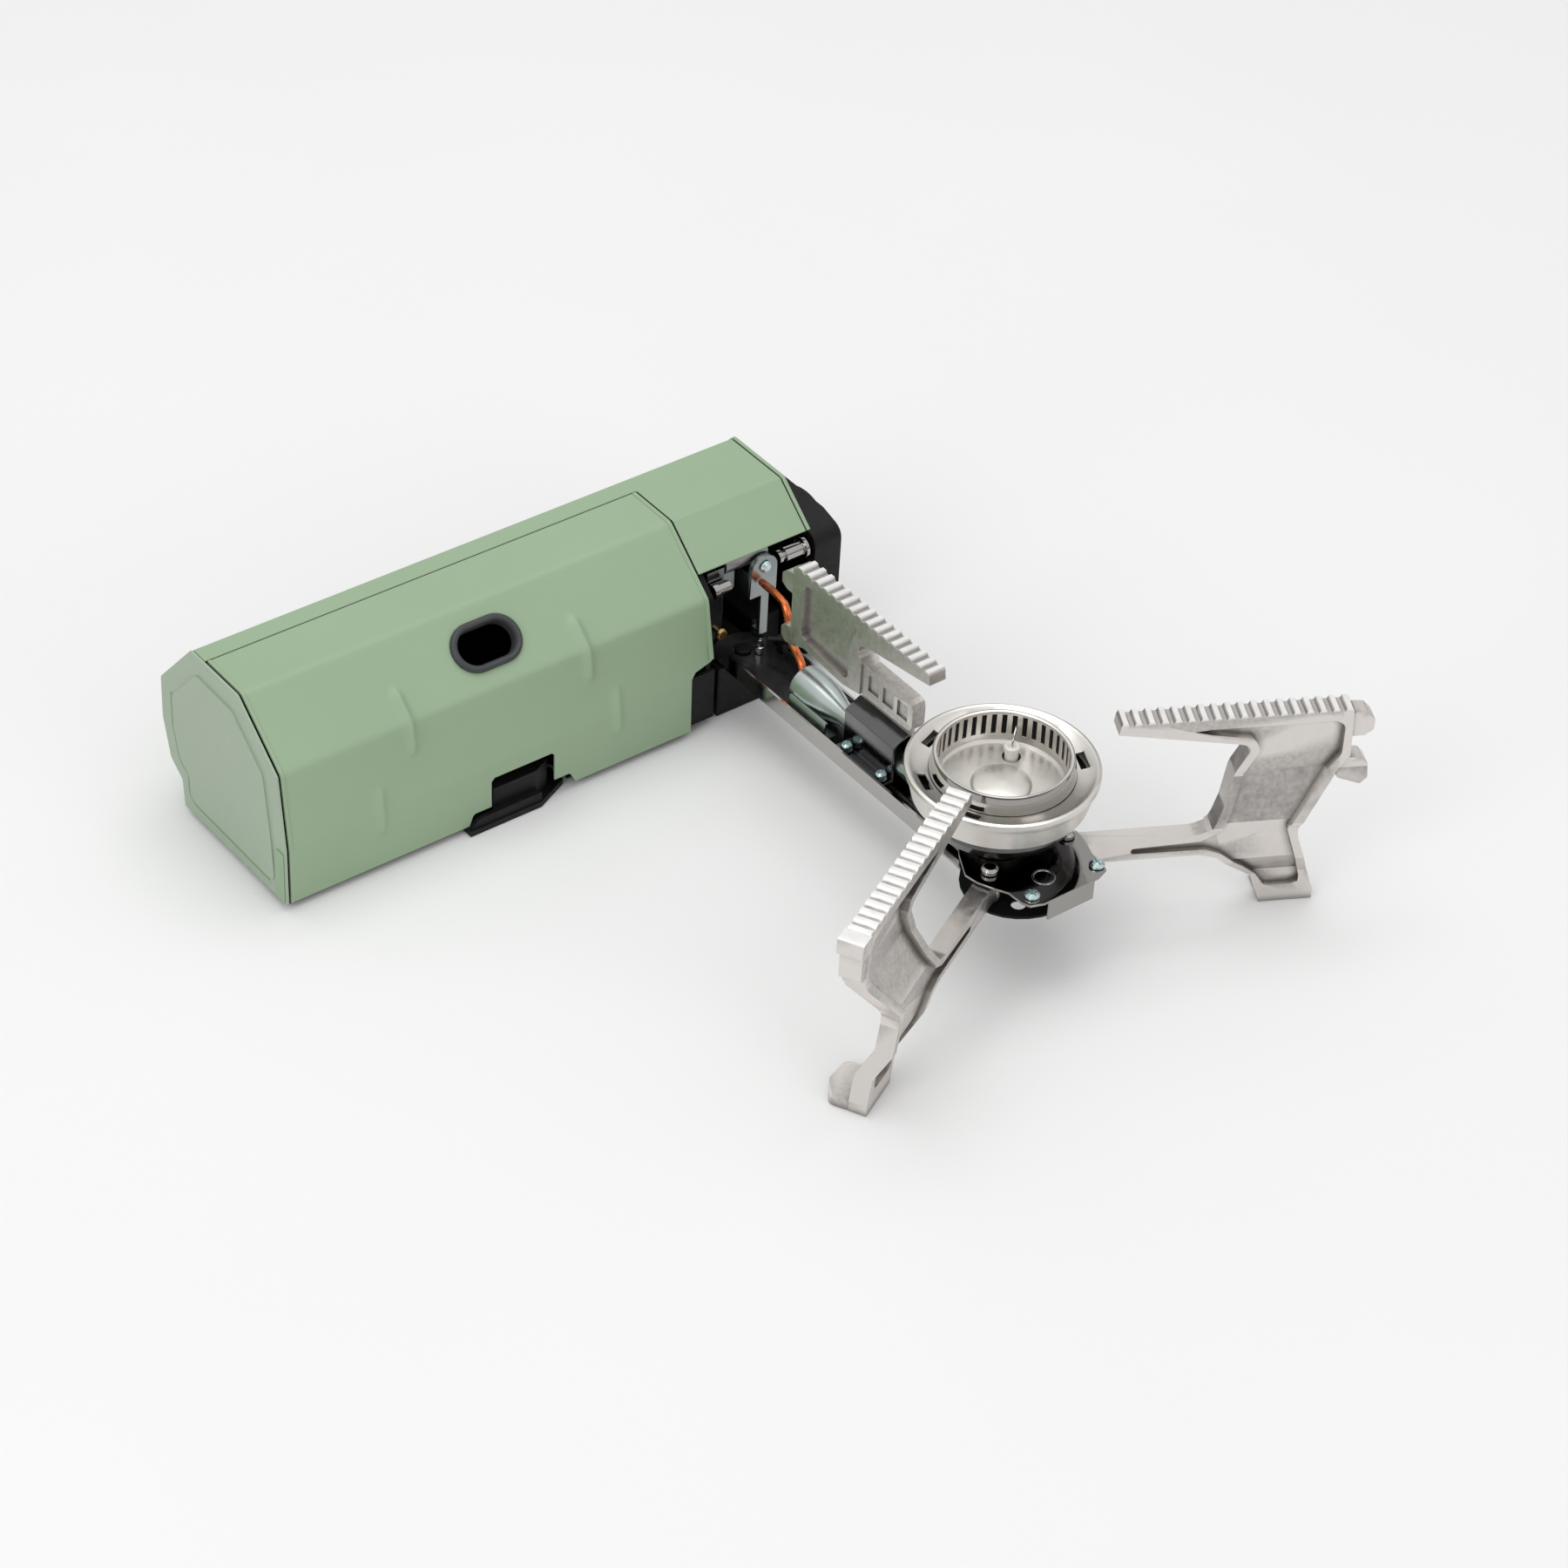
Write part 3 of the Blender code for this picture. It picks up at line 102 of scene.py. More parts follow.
# ---------------------------------------------------------------- materials
def linear(rgb):
    return tuple((c / 12.92 if c <= 0.04045 else ((c + 0.055) / 1.055) ** 2.4) for c in rgb) + (1.0,)


def shaded(name, rgb, rough, metallic=0.0, mottle=0.04, mottle_size=25.0, rough_spread=0.06,
           grain=0.0, grain_size=0.6, wave=0.0, wave_size=6.0, scuff=0.0, coat=0.0, edge=0.0,
           specular=None, hollow_shade=0.0, crest=None):
    """A finish from layered noise: sizes in millimetres, grain and wave are bump heights in millimetres."""
    mat = bpy.data.materials.new(name)
    mat.use_nodes = True
    tree = mat.node_tree
    tree.nodes.clear()
    nodes, links = tree.nodes, tree.links
    out = nodes.new("ShaderNodeOutputMaterial")
    shader = nodes.new("ShaderNodeBsdfPrincipled")
    links.new(shader.outputs["BSDF"], out.inputs["Surface"])
    coords = nodes.new("ShaderNodeTexCoord")
    shader.inputs["Metallic"].default_value = metallic
    if coat:
        shader.inputs["Coat Weight"].default_value = coat
        shader.inputs["Coat Roughness"].default_value = 0.25
    if specular is not None:
        shader.inputs["Specular IOR Level"].default_value = specular

    def noise(size, detail):
        tex = nodes.new("ShaderNodeTexNoise")
        tex.inputs["Scale"].default_value = 1000.0 / size
        tex.inputs["Detail"].default_value = detail
        links.new(coords.outputs["Object"], tex.inputs["Vector"])
        return tex.outputs["Fac"]

    def ranged(value, span, low, high):
        rng = nodes.new("ShaderNodeMapRange")
        rng.inputs["From Min"].default_value = span[0]
        rng.inputs["From Max"].default_value = span[1]
        rng.inputs["To Min"].default_value = low
        rng.inputs["To Max"].default_value = high
        links.new(value, rng.inputs["Value"])
        return rng.outputs["Result"]

    def laid_over(under, top, amount):
        mix = nodes.new("ShaderNodeMix")
        mix.data_type = "RGBA"
        mix.inputs["B"].default_value = top
        links.new(amount, mix.inputs["Factor"])
        links.new(under, mix.inputs["A"])
        return mix.outputs["Result"]

    # Colour: a broad mottle, then painted edge highlight, painted recess shade and painted ridge-top
    # highlight where asked for.
    base = linear(rgb)[:3]
    ramp = nodes.new("ShaderNodeValToRGB")
    lo, hi = ramp.color_ramp.elements
    lo.position, hi.position = NOISE_SPAN
    lo.color = tuple(max(0.0, c * (1.0 - mottle)) for c in base) + (1.0,)
    hi.color = tuple(min(1.0, c * (1.0 + mottle)) for c in base) + (1.0,)
    links.new(noise(mottle_size, 5.0), ramp.inputs["Fac"])
    colour = ramp.outputs["Color"]
    if edge:
        # Painted highlight: edges are painted lighter, as if catching the light; the ridge mask comes from
        # the mesh curvature.
        shape = nodes.new("ShaderNodeNewGeometry")
        edge_highlight = tuple(min(1.0, c * 1.35 + 0.05) for c in base) + (1.0,)
        colour = laid_over(colour, edge_highlight, ranged(shape.outputs["Pointiness"], RIDGE_SPAN, 0.0, edge))
    if hollow_shade:
        # Painted shade: recesses are darkened by ambient occlusion, as if shade fell in them.
        hollow = nodes.new("ShaderNodeAmbientOcclusion")
        hollow.samples = 4
        hollow.inputs["Distance"].default_value = HOLLOW_REACH * MM
        recess_shade = tuple(c * 0.45 for c in base) + (1.0,)
        colour = laid_over(colour, recess_shade, ranged(hollow.outputs["AO"], HOLLOW_SPAN, hollow_shade, 0.0))
    if crest:
        # Painted highlight on ridge tops: the colour lifts to near-white between two heights of the casting.
        split = nodes.new("ShaderNodeSeparateXYZ")
        links.new(coords.outputs["Object"], split.inputs["Vector"])
        heights = (crest[0] * MM, crest[1] * MM)
        colour = laid_over(colour, CREST_HIGHLIGHT, ranged(split.outputs["Z"], heights, 0.0, 1.0))
    links.new(colour, shader.inputs["Base Color"])

    # Roughness: fine blotches, with sparse scuffs if asked for.
    low, high = max(0.02, rough - rough_spread), min(1.0, rough + rough_spread)
    dullness = ranged(noise(max(grain_size * 4, 1.5), 4.0), NOISE_SPAN, low, high)
    if scuff:
        add = nodes.new("ShaderNodeMath")
        add.operation = "ADD"
        add.use_clamp = True
        links.new(dullness, add.inputs[0])
        links.new(ranged(noise(SCUFF_SIZE, 6.0), SCUFF_SPAN, 0.0, scuff), add.inputs[1])
        dullness = add.outputs["Value"]
    links.new(dullness, shader.inputs["Roughness"])

    # Bump: fine grain, then a slow waviness of the sheet or casting.
    normal = None
    for height, size, detail in ((grain, grain_size, 2.0), (wave, wave_size, 1.0)):
        if not height:
            continue
        bump = nodes.new("ShaderNodeBump")
        bump.inputs["Strength"].default_value = 1.0
        bump.inputs["Distance"].default_value = height * MM
        links.new(noise(size, detail), bump.inputs["Height"])
        if normal:
            links.new(normal, bump.inputs["Normal"])
        normal = bump.outputs["Normal"]
    if normal:
        links.new(normal, shader.inputs["Normal"])
    return mat


PAINT = shaded("paint", (0.585, 0.675, 0.555), 0.50, mottle=0.020, mottle_size=60, rough_spread=0.04,
               grain=0.004, grain_size=1.1, wave=0.02, wave_size=70, scuff=0.05)
PAINT_END = shaded("paint_end", (0.630, 0.690, 0.612), 0.52, mottle=0.02, mottle_size=50,
                   rough_spread=0.04, grain=0.004, grain_size=1.1, wave=0.02, wave_size=60)
# Darker green standing for the painted shade in the end cap's pressed crease.
PAINT_SHADE = shaded("paint_crease_shade", (0.500, 0.590, 0.475), 0.60, mottle=0.03, mottle_size=20,
                    rough_spread=0.04, grain=0.004, grain_size=1.1)
BLACK = shaded("black_moulding", (0.068, 0.068, 0.071), 0.50, mottle=0.15, mottle_size=8,
               grain=0.006, grain_size=0.8, rough_spread=0.08, specular=0.25)
RUBBER = shaded("grommet_rubber", (0.225, 0.235, 0.245), 0.55, mottle=0.08, mottle_size=6,
                grain=0.008, grain_size=0.4)
FEET = shaded("foot_rubber", (0.10, 0.10, 0.105), 0.7, mottle=0.15, mottle_size=5, grain=0.02, grain_size=0.5)
# Blackened steel for dark parts, also used as near-black painted shade in the burner's slits, under its
# windows and in the seams.
BLACK_STEEL_AND_SHADE = shaded("blackened_steel_and_shade", (0.07, 0.07, 0.072), 0.65, mottle=0.2, mottle_size=5, grain=0.006,
              grain_size=0.5, specular=0.2)
# Glossy near-black for the painted shade on the arm channel's floor.
CHANNEL_SHADE = shaded("glossy_channel_shade", (0.10, 0.10, 0.102), 0.22, mottle=0.2, mottle_size=6, wave=0.01,
                    wave_size=9)
# Cast aluminium: painted highlight on edges and ridge tops, painted shade in recesses.
CAST = shaded("cast_aluminium", (0.748, 0.730, 0.714), 0.38, 1.0, mottle=0.13, mottle_size=1.6,
              rough_spread=0.08, grain=0.030, grain_size=1.0, wave=0.02, wave_size=5, edge=0.9, hollow_shade=0.9,
              crest=(86.9, 87.9))
STEEL = shaded("polished_steel", (0.72, 0.71, 0.70), 0.10, 1.0, mottle=0.02, mottle_size=14,
               rough_spread=0.03, wave=0.008, wave_size=14, scuff=0.05)
SATIN = shaded("satin_steel", (0.885, 0.872, 0.850), 0.33, 1.0, mottle=0.025, mottle_size=9,
               rough_spread=0.04, wave=0.004, wave_size=12, scuff=0.05)
MIRROR = shaded("mirror_steel", (0.62, 0.61, 0.60), 0.06, 1.0, mottle=0.02, mottle_size=14,
                rough_spread=0.02, wave=0.006, wave_size=14, scuff=0.04)
# Dark steel, its edges painted lighter as painted highlight.
DARK = shaded("dark_steel", (0.40, 0.40, 0.405), 0.15, 1.0, mottle=0.05, mottle_size=9,
              rough_spread=0.03, wave=0.003, wave_size=12, edge=1.0)
# Pressed zinc, its edges painted lighter as painted highlight.
PRESSED = shaded("pressed_zinc", (0.58, 0.60, 0.60), 0.34, 1.0, mottle=0.06, mottle_size=6,
                 rough_spread=0.05, wave=0.001, wave_size=12, edge=0.5)
ZINC = shaded("zinc_plate", (0.76, 0.795, 0.785), 0.31, 1.0, mottle=0.05, mottle_size=9,
              rough_spread=0.04, wave=0.001, wave_size=14)
SCREW = shaded("blue_zinc", (0.80, 0.88, 0.885), 0.28, 1.0, mottle=0.08, mottle_size=3,
               rough_spread=0.06, grain=0.001, grain_size=0.4)
BRASS = shaded("brass", (0.78, 0.65, 0.43), 0.24, 1.0, mottle=0.06, mottle_size=5, rough_spread=0.06,
               grain=0.0008, grain_size=0.5)
COPPER = shaded("copper", (0.84, 0.46, 0.28), 0.28, 1.0, mottle=0.08, mottle_size=6, rough_spread=0.06,
                grain=0.001, grain_size=0.5, wave=0.006, wave_size=5)
CERAMIC = shaded("ceramic", (0.90, 0.89, 0.865), 0.16, mottle=0.02, mottle_size=3, grain=0.003,
                 grain_size=0.5, coat=0.6)
WIRE = shaded("wire_sleeve", (0.14, 0.14, 0.14), 0.45, mottle=0.1, mottle_size=3, grain=0.006, grain_size=0.4)

FINISH = {
    PAINT: "fixed_shell cover",
    PAINT_END: "end_cap",
    BLACK: "base_tray foot_centre bulkhead pivot_block piezo_igniter end_cover control_knob",
    RUBBER: "window_grommet",
    FEET: "foot_left foot_right foot_back_left foot_back_right",
    CAST: "leg_one leg_two leg_three tube_elbow",
    STEEL: "arm_channel hinge_rod safety_valve hinge_pin_two hinge_pin_three electrode_tip cover_catch",
    SATIN: "burner_ring burner_cup burner_dome burner_seat magnet_front magnet_back",
    MIRROR: "bracket_top",
    BLACK_STEEL_AND_SHADE: "bracket_floor canister_cradle pivot_pin",
    DARK: "docking_disc regulator_bonnet works_plate tube_cover burner_pan",
    ZINC: "mixing_tube tube_saddle",
    PRESSED: "regulator_body outlet_tab outlet_strap",
    SCREW: "tab_screw arm_screw_inner arm_screw_outer bracket_screw_left bracket_screw_right",
    BRASS: "inlet_nozzle catch_screw jet_holder valve_stem",
    COPPER: "gas_pipe",
    CERAMIC: "electrode_insulator",
    WIRE: "ignition_wire",
}
# Width of the rounded edge each part shows, in millimetres.
ROUND = {
    "fixed_shell": 1.3, "cover": 1.3, "end_cap": 0.35, "window_grommet": 0.7, "leg_one": 0.45,
    "leg_two": 0.45, "leg_three": 0.45, "arm_channel": 0.25, "bracket_top": 0.3, "bracket_floor": 0.2,
    "end_cover": 1.2, "base_tray": 0.3, "foot_centre": 0.35, "pivot_block": 0.6, "control_knob": 0.4,
    "burner_ring": 0.12, "burner_cup": 0.1, "outlet_tab": 0.3, "tube_cover": 0.45, "bulkhead": 0.3,
}


def softened(obj, width, angle=EDGE_ANGLE):
    """Rounds the sharp edges so that they catch the light."""
    weld = obj.modifiers.new("weld", "WELD")
    weld.merge_threshold = WELD_GAP * MM
    flat = obj.modifiers.new("flat", "DECIMATE")
    flat.decimate_type = "DISSOLVE"
    flat.angle_limit = math.radians(FLAT_ANGLE)
    bevel = obj.modifiers.new("round", "BEVEL")
    bevel.width = width * MM
    bevel.segments = 3
    bevel.limit_method = "ANGLE"
    bevel.angle_limit = math.radians(angle)
    bevel.harden_normals = True
    bevel.use_clamp_overlap = True
    for poly in obj.data.polygons:
        poly.use_smooth = True
    even = obj.modifiers.new("even", "WEIGHTED_NORMAL")
    even.mode = "FACE_AREA"
    even.weight = 50
    even.keep_sharp = True


def dress(obj, mat):
    obj.data.materials.clear()
    obj.data.materials.append(mat)


def finish_parts():
    """Every part of the frame gets its finish and its rounded edges."""
    for mat, names in FINISH.items():
        for part in names.split():
            dress(NODES[part], mat)
            softened(NODES[part], ROUND.get(part, EDGE_WIDTH),
                     LEG_EDGE_ANGLE if part.startswith("leg") else EDGE_ANGLE)


# ---------------------------------------------------------------- pieces
def spot(x, y, z):
    return Vector((AXIS[0] + x * MM, AXIS[1] + y * MM, z * MM))


def part_box(node):
    """A node's box in drawing millimetres: two corners."""
    low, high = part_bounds(node)
    return [((v[0] - AXIS[0]) / MM, (v[1] - AXIS[1]) / MM, v[2] / MM) for v in (low, high)]


def placed(name, data):
    obj = bpy.data.objects.new(name, data)
    bpy.context.scene.collection.objects.link(obj)
    return obj


def piece(name, mesh, mat, body, width=0.0):
    """A new visual piece riding on a body, with its own finish."""
    obj = placed(name, mesh)
    dress(obj, mat)
    if width:
        softened(obj, width)
    else:
        for poly in mesh.polygons:
            poly.use_smooth = True
        mesh.set_sharp_from_angle(angle=math.radians(SHARP_ANGLE))
    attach(obj, body)
    return obj


def made(skin, name):
    """The mesh of a finished skin."""
    mesh = bpy.data.meshes.new(name)
    skin.to_mesh(mesh)
    skin.free()
    return mesh


def joined(skin, a, b):
    """Faces between two closed loops of points."""
    for k in range(len(a)):
        j = (k + 1) % len(a)
        skin.faces.new((a[k], a[j], b[j], b[k]))


def angles(steps, turn=2 * math.pi):
    return [turn * k / steps for k in range(steps + 1)]


def revolved(name, profile, centre=(0, 0), steps=128):
    """Mesh of a closed (radius, height) profile turned about an upright axis."""
    skin = bmesh.new()
    rings = []
    for turn in angles(steps)[:-1]:
        rings.append([skin.verts.new(spot(centre[0] + r * math.cos(turn), centre[1] + r * math.sin(turn), z))
                      for r, z in profile])
    for a, b in zip(rings, rings[1:] + rings[:1]):
        for i in range(len(profile)):
            j = (i + 1) % len(profile)
            skin.faces.new((a[i], b[i], b[j], a[j]))
    bmesh.ops.recalc_face_normals(skin, faces=skin.faces)
    return made(skin, name)


def line_points(corners, radius, step):
    """Points along a folded sheet's section: corners rounded to a radius, straights divided evenly."""
    corners = [Vector(c) for c in corners]
    turns = [[corners[0]]]
    for before, here, after in zip(corners, corners[1:], corners[2:]):
        back, ahead = (before - here).normalized(), (after - here).normalized()
        reach = radius / math.tan(back.angle(ahead) / 2)
        start, stop = here + back * reach, here + ahead * reach
        turns.append([(1 - t) ** 2 * start + 2 * t * (1 - t) * here + t * t * stop
                      for t in [k / 6 for k in range(7)]])
    turns.append([corners[-1]])
    points = []
    for arc, following in zip(turns, turns[1:]):
        points += arc
        gap = following[0] - arc[-1]
        count = max(1, int(gap.length / step))
        points += [arc[-1] + gap * k / count for k in range(1, count)]
    return points + turns[-1]


def outward(points, i):
    along = (points[min(i + 1, len(points) - 1)] - points[max(i - 1, 0)]).normalized()
    return Vector((-along.y, along.x))


def strip(name, corners, across, lift, mat, body, radius=4.0):
    """A hem, or a dark line of painted shade, that follows the folded section between two stations of x."""
    points = line_points(corners, radius, STRIP_STEP)
    (x0, x1), (low, high) = across, lift
    skin = bmesh.new()
    rings = []
    for i, at in enumerate(points):
        out = outward(points, i)
        ring = []
        for x, height in ((x0, low), (x1, low), (x1, high), (x0, high)):
            place = at + out * height
            ring.append(skin.verts.new(spot(x, place.x, place.y)))
        rings.append(ring)
    for a, b in zip(rings, rings[1:]):
        joined(skin, a, b)
    skin.faces.new(rings[0])
    skin.faces.new(rings[-1])
    bmesh.ops.recalc_face_normals(skin, faces=skin.faces)
    piece(name, made(skin, name), mat, body, STRIP_EDGE)


def swell(x, at, knee, chin):
    """Height of the pressed beads at a point of the cover: two cross the knee, two the chin."""
    height = 0.0
    for centre, middle, reach, tall in BEADS:
        along = at - (knee if middle == "knee" else chin)
        fade = 1.0 / (1.0 + math.exp((abs(along) - reach) * BEAD_FADE))
        height += tall * fade * math.exp(-((x - centre) / BEAD_WIDTH) ** 2)
    return height


def cover_stations():
    """Stations of x across the cover, closer together over the beads."""
    low, high = part_box("cover")
    count = int((high[0] - low[0]) / STATION_STEP) + 1
    stations = {round(low[0] + STATION_STEP * k, 3) for k in range(count)} | {high[0]}
    for centre, _, _, _ in BEADS:
        stations |= {centre + BEAD_STEP * k for k in range(-10, 11)}
    return sorted(stations)


def cover_sheet():
    """The cover's outer face as one fine bent surface with its beads pressed in."""
    points = line_points([TOE, CHIN, KNEE, SHOULDER, HINGE], BEND_R, BEND_STEP)
    travel = [0.0]
    for a, b in zip(points, points[1:]):
        travel.append(travel[-1] + (b - a).length)
    nearest = [min(range(len(points)), key=lambda i: (points[i] - Vector(c)).length) for c in (KNEE, CHIN)]
    knee, chin = travel[nearest[0]], travel[nearest[1]]
    skin = bmesh.new()
    grid = []
    for x in cover_stations():
        column = []
        for i, at in enumerate(points):
            place = at + outward(points, i) * swell(x, travel[i], knee, chin)
            column.append(skin.verts.new(spot(x, place.x, place.y)))
        grid.append(column)
    for a, b in zip(grid, grid[1:]):
        for i in range(len(points) - 1):
            skin.faces.new((a[i], a[i + 1], b[i + 1], b[i]))
    bmesh.ops.recalc_face_normals(skin, faces=skin.faces)
    if sum((f.normal.z for f in skin.faces)) < 0:
        bmesh.ops.reverse_faces(skin, faces=skin.faces)
    return made(skin, "cover_panel")


def prism(outline, low, high, stand):
    """A flat outline given depth, then stood up by a matrix; drawing millimetres."""
    skin = bmesh.new()
    rings = []
    for depth in (low, high):
        rings.append([skin.verts.new(spot(*(stand @ Vector((x, y, depth))))) for x, y in outline])
    joined(skin, *rings)
    skin.faces.new(rings[0])
    skin.faces.new(rings[1])
    bmesh.ops.recalc_face_normals(skin, faces=skin.faces)
    return made(skin, "prism")


def carved(mesh, cutters):
    """The mesh, thickened to sheet metal, with the cutters taken out of it."""
    work = placed("work", mesh)
    shell = work.modifiers.new("sheet", "SOLIDIFY")
    shell.thickness = SHEET * MM
    shell.offset = -1.0
    tools = []
    for cutter in cutters:
        tool = placed("tool", cutter)
        tools.append(tool)
        cut = work.modifiers.new("cut", "BOOLEAN")
        cut.solver = "EXACT"
        cut.object = tool
    graph = bpy.context.evaluated_depsgraph_get()
    graph.update()
    panel = bpy.data.meshes.new_from_object(work.evaluated_get(graph))
    for obj in [work] + tools:
        bpy.data.objects.remove(obj, do_unlink=True)
    return panel


def window_place():
    """Matrix that stands a flat drawing on the sloping face, centred on the sight window."""
    slope = math.atan2(SHOULDER[1] - KNEE[1], SHOULDER[0] - KNEE[0])
    middle = ((SHOULDER[0] + KNEE[0]) / 2, (SHOULDER[1] + KNEE[1]) / 2)
    return Matrix.Translation((WINDOW_X, *middle)) @ Matrix.Rotation(slope, 4, "X")


def stadium(radius):
    """Outline of the window: straight sides and round ends of a radius."""
    right = [(WINDOW_HALF + radius * math.sin(a), -radius * math.cos(a)) for a in angles(16, math.pi)]
    return right + [(-x, -y) for x, y in right]


def cover_details():
    """Cover with soft bends and pressed beads, its hems, and the dark seam lines of painted shade beside
    them.
    """
    left, seam = part_box("cover")[0][0], part_box("cover")[1][0]
    notch = [(-122.5, -2), (-122.5, 19.6), (-121.1, 21.0), (-95.2, 21.0), (-93.8, 19.6), (-93.8, -2)]
    flare = [(-134.3, -2), (-130.9, 7.2), (-129.8, 7.9), (-87.4, 7.9), (-86.4, 7.2), (-81.7, -2)]
    corner = [(seam - 9.6, -2), (seam - 9.6, 27.6), (seam - 7.9, 30.1), (seam + 6, 34.0), (seam + 6, -2)]
    cuts = [prism(stadium(WINDOW_R), -6, 6, window_place())]
    cuts += [prism(shape, CUT_BACK, CUT_FRONT, UPRIGHT) for shape in (notch, flare, corner)]
    panel = piece("cover_panel", carved(cover_sheet(), cuts), PAINT, "cover")
    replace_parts(panel, "cover")
    right_run = [(144.9, 34.0), KNEE, SHOULDER, HINGE]
    left_run = [(145.1, 26.0), CHIN, KNEE, SHOULDER, HINGE]
    strip("cover_hem_right", right_run, (seam - 1.5, seam + 0.1), HEM, PAINT, "cover")
    strip("cover_hem_left", left_run, (left - 0.1, left + 1.3), HEM, PAINT, "cover")
    end = part_box("fixed_shell")[1][0]
    crest = [LIP, SHOULDER, BROW, BACK_TOP]
    strip("shell_hem", crest, (end - 1.4, end + 0.1), SHELL_HEM, PAINT, "housing", 2.0)
    # Near-black strips of painted shade in the gaps at the seams.
    strip("shell_seam_shade", crest, (end - 1.95, end - 1.4), SEAM_SHADE, BLACK_STEEL_AND_SHADE, "housing", 2.0)
    strip("cover_seam_shade", [LIP, SHOULDER, HINGE], (seam + 0.25, seam + 1.0), SEAM_SHADE, BLACK_STEEL_AND_SHADE, "housing", 2.0)


def cap_details():
    """Painted shade of the pressed crease along the end panel's low sides, as a thin darker strip, and the
    folded corner of the end cap by the cover's toe.
    """
    low = part_box("end_cap")[0][0]
    face = low + CAP_PANEL
    hollow_shade = [(220.1, 51.6), (219.8, 37.1), (216.2, 24.0), (209.7, 20.1), (209.7, 9.5), (156.0, 9.1)]
    # A darker green strip painted as the shade of the crease.
    strip("cap_crease_shade", hollow_shade, (face - 0.15, face + 0.05), (0.0, 2.3), PAINT_SHADE, "housing")
    fold = [(145.4, 3.5), (150.6, 3.5), (151.6, 5.5), (151.6, 24.0), (150.0, 26.2), (145.7, 26.2)]
    piece("cap_fold", prism(fold, low + 0.1, face + 0.1, SIDEWAYS), PAINT, "housing", 0.5)


def window_lip():
    """Rubber lip round the sight window: a rolled rim gripping the sheet, with a drop inside."""
    stand = window_place()
    section = [(9.7, 0.1), (9.75, 0.9), (9.3, 1.7), (8.5, 2.1), (7.6, 1.9), (7.0, 1.2), (6.8, 0.2),
               (6.8, -3.2), (8.8, -3.2), (8.8, -1.0), (7.4, -0.9), (7.4, 0.1)]
    skin = bmesh.new()
    loops = []
    for radius, height in section:
        loops.append([skin.verts.new(spot(*(stand @ Vector((x, y, height))))) for x, y in stadium(radius)])
    for a, b in zip(loops, loops[1:] + loops[:1]):
        joined(skin, a, b)
    bmesh.ops.remove_doubles(skin, verts=skin.verts, dist=0.00001)
    bmesh.ops.recalc_face_normals(skin, faces=skin.faces)
    mesh = made(skin, "window_lip")
    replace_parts(piece("window_lip", mesh, RUBBER, "cover"), "window_grommet")


def arm_details():
    """Dark sheet of painted shade on the channel floor, open round the pin, and the bright rails inside the
    flanges.
    """
    floor_top = part_box("arm_channel")[0][2] + CHANNEL_FLOOR
    pin_low, pin_high = part_box("pivot_pin")
    centre, clear = (pin_low[1] + pin_high[1]) / 2, (pin_high[0] - pin_low[0]) / 2 + PIN_CLEAR
    end = [(CHANNEL_HALF * math.cos(a), centre + 1.5 + 9.1 * math.sin(a)) for a in angles(16, math.pi)]
    hole = [(clear * math.sin(a), centre + clear * math.cos(a)) for a in angles(24)]
    sides = [(-CHANNEL_HALF, CHANNEL_END), (-RAIL_X1, CHANNEL_END), (-RAIL_X1, BELL_END),
             (RAIL_X1, BELL_END), (RAIL_X1, CHANNEL_END), (CHANNEL_HALF, CHANNEL_END)]
    shape = end[:9] + hole + end[8:] + sides
    piece("channel_shade_liner", prism(shape, floor_top + 0.02, floor_top + 0.2, FLAT), CHANNEL_SHADE, "arm")
    for name, x0, x1, start, stop in (("inner_rail_left", -RAIL_X1, -RAIL_X0, 114.0, 147.0),
                                      ("inner_rail_right", RAIL_X0, RAIL_X1, BELL_END, 140.0)):
        rail = [(x0, floor_top), (x1, floor_top), (x1, floor_top + RAIL_TALL), (x0, floor_top + RAIL_TALL)]
        piece(name, prism(rail, -stop, -start, UPRIGHT), STEEL, "arm", EDGE_WIDTH)


def burner_details():
    """Painted shade as a dark band behind the flame slits, sleeve, crown, a dark ring of painted shade under
    the windows, ring on the plate.
    """
    band = [(25.15, 65.0), (25.45, 65.0), (25.45, 74.0), (25.15, 74.0)]
    # Near-black band standing for the shade inside the burner, seen through the slits.
    piece("slit_shade_band", revolved("slit_shade_band", band), BLACK_STEEL_AND_SHADE, "arm")
    sleeve = [(25.3, 75.15), (25.6, 75.1), (25.95, 74.4), (26.75, 67.9), (26.4, 67.9), (25.5, 74.4)]
    piece("cup_sleeve", revolved("cup_sleeve", sleeve), MIRROR, "arm")
    crown = [(0.02, 62.9), (4.0, 62.75), (7.6, 62.3), (9.8, 61.9), (10.9, 61.5), (11.2, 61.2), (0.02, 61.2)]
    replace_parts(piece("dished_crown", revolved("dished_crown", crown), SATIN, "arm"), "burner_dome")
    # Painted shade seen through the trough's windows: a near-black ring under them.
    shade_ring_section = [(26.8, 63.0), (32.0, 63.0), (32.0, 63.6), (26.8, 63.6)]
    piece("window_shade_ring", revolved("window_shade_ring", shade_ring_section), BLACK_STEEL_AND_SHADE, "arm")
    bead = [(3.9 + 0.5 * math.cos(a), 40.4 + 0.45 * math.sin(a)) for a in angles(12)[:-1]]
    piece("bracket_boss", revolved("bracket_boss", bead, BOSS_SPOT, 48), MIRROR, "arm")


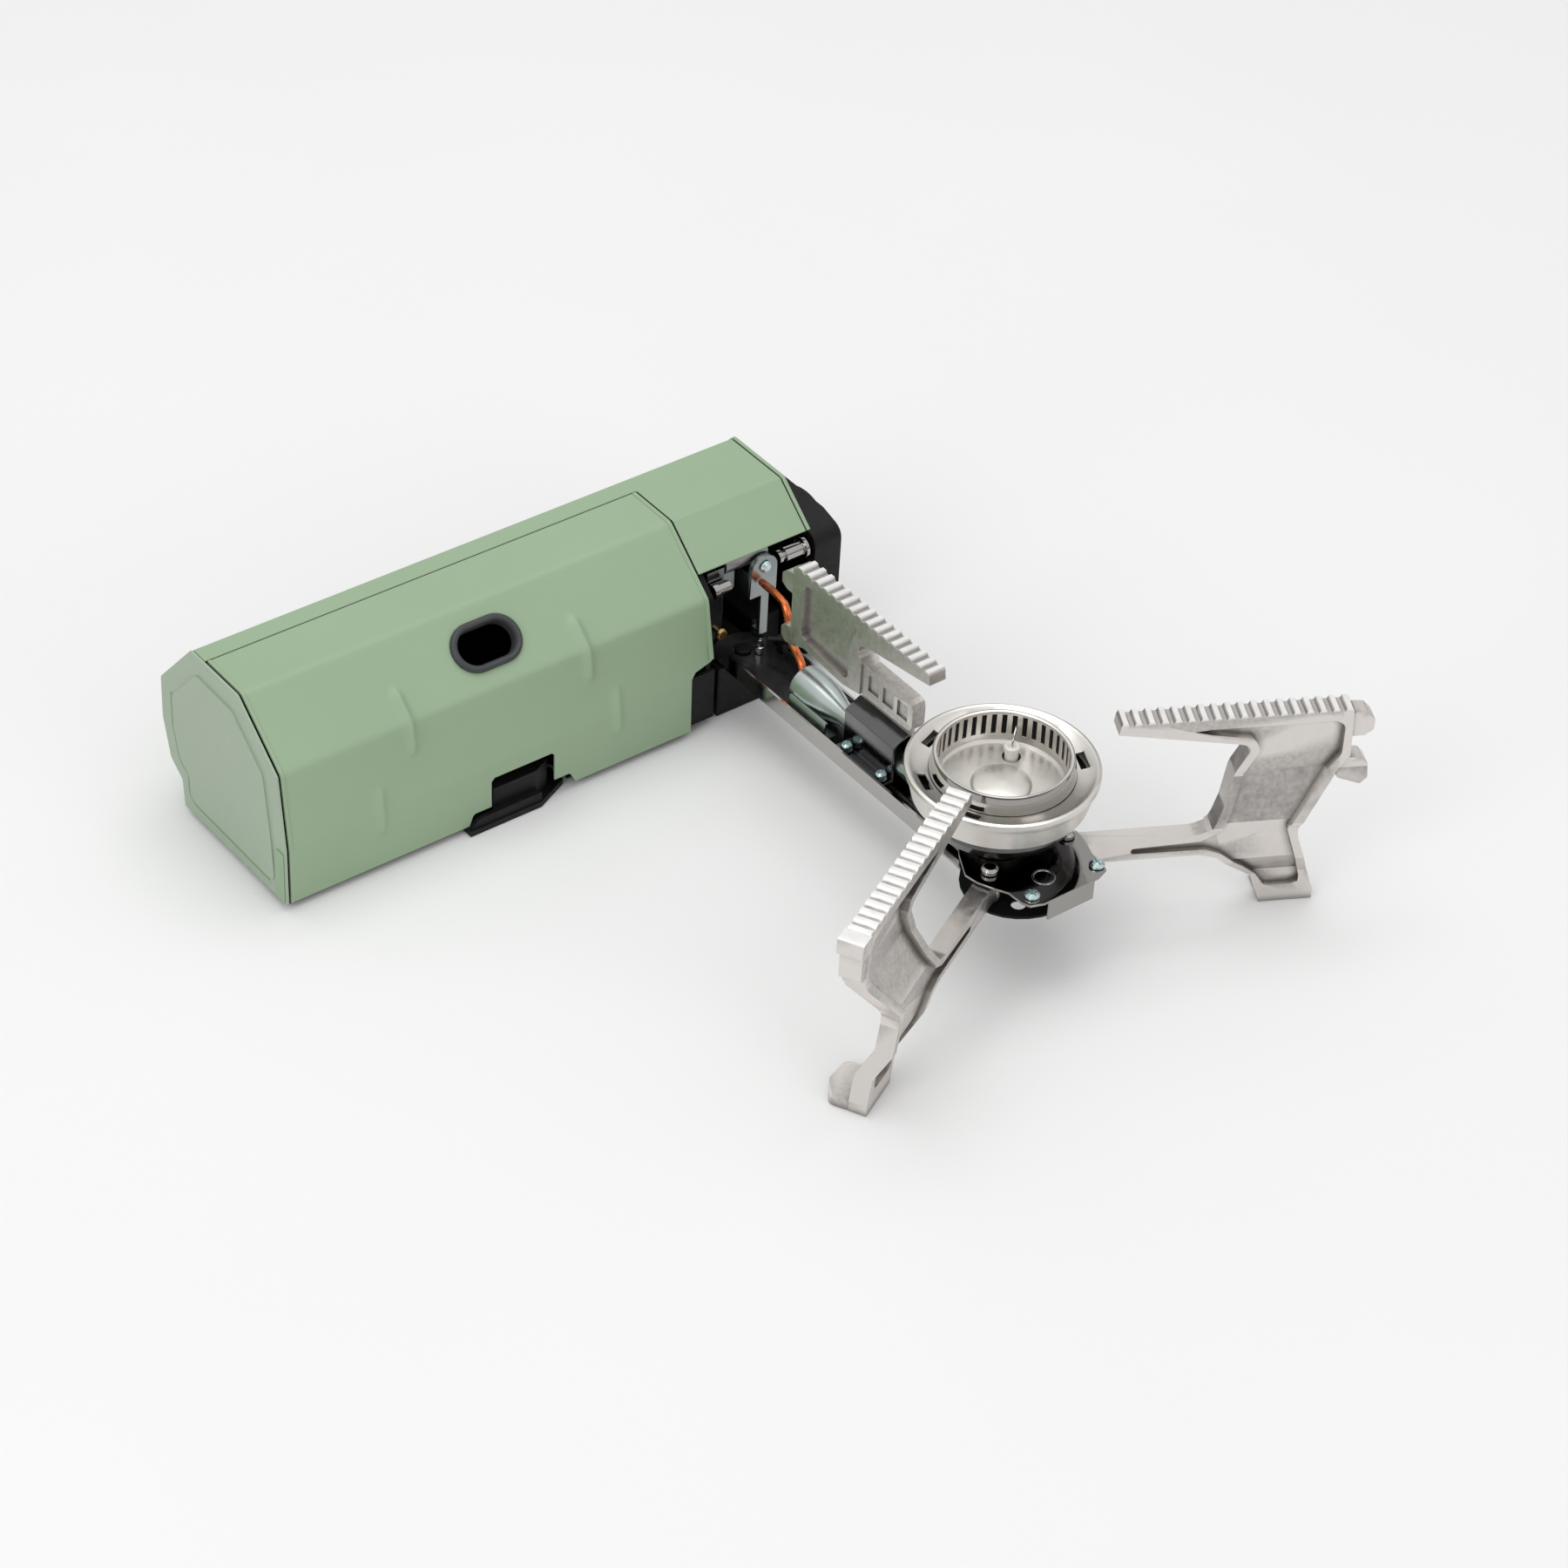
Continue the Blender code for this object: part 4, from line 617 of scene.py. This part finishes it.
# ---------------------------------------------------------------- stage
def floor():
    bpy.ops.mesh.primitive_plane_add(size=FLOOR_SIZE, location=(0, 0, FLOOR_DROP))
    plane = bpy.context.object
    plane.name = "floor"
    dress(plane, shaded("floor_paper", (0.93, 0.93, 0.93), 0.85, mottle=0.006, mottle_size=200,
                        grain=0.02, grain_size=1.5, specular=0.1))


def lamps():
    for name, power, (width, height), place in LAMPS:
        data = bpy.data.lights.new(name, "AREA")
        data.energy = power
        data.shape = "RECTANGLE"
        data.size = width
        data.size_y = height
        lamp = placed(name, data)
        lamp.location = place
        lamp.rotation_mode = "QUATERNION"
        lamp.rotation_quaternion = (LAMP_TARGET - Vector(place)).to_track_quat("-Z", "Y")


def surroundings():
    """Soft studio light: grey by height, darkest just above the floor's level."""
    world = bpy.data.worlds.new("studio")
    bpy.context.scene.world = world
    world.use_nodes = True
    tree = world.node_tree
    back = tree.nodes["Background"]
    back.inputs["Strength"].default_value = SKY_STRENGTH
    coords = tree.nodes.new("ShaderNodeTexCoord")
    split = tree.nodes.new("ShaderNodeSeparateXYZ")
    ramp = tree.nodes.new("ShaderNodeValToRGB")
    tree.links.new(coords.outputs["Generated"], split.inputs["Vector"])
    tree.links.new(split.outputs["Z"], ramp.inputs["Fac"])
    tree.links.new(ramp.outputs["Color"], back.inputs["Color"])
    while len(ramp.color_ramp.elements) < len(SKY):
        ramp.color_ramp.elements.new(0.5)
    for element, (at, grey) in zip(ramp.color_ramp.elements, SKY):
        element.position = at
        element.color = (grey, grey, grey, 1)


def camera():
    data = bpy.data.cameras.new("camera")
    data.sensor_width = SENSOR
    data.lens = LENS
    data.clip_end = FAR
    cam = placed("camera", data)
    turn = (TARGET - EYE).to_track_quat("-Z", "Y")
    roll = Matrix.Rotation(math.radians(ROLL), 4, "Z")
    cam.matrix_world = Matrix.Translation(EYE) @ turn.to_matrix().to_4x4() @ roll
    bpy.context.scene.camera = cam


finish_parts()
cover_details()
cap_details()
window_lip()
arm_details()
burner_details()
floor()
lamps()
surroundings()
camera()
view = bpy.context.scene.view_settings
view.view_transform = "Standard"
view.look = "None"
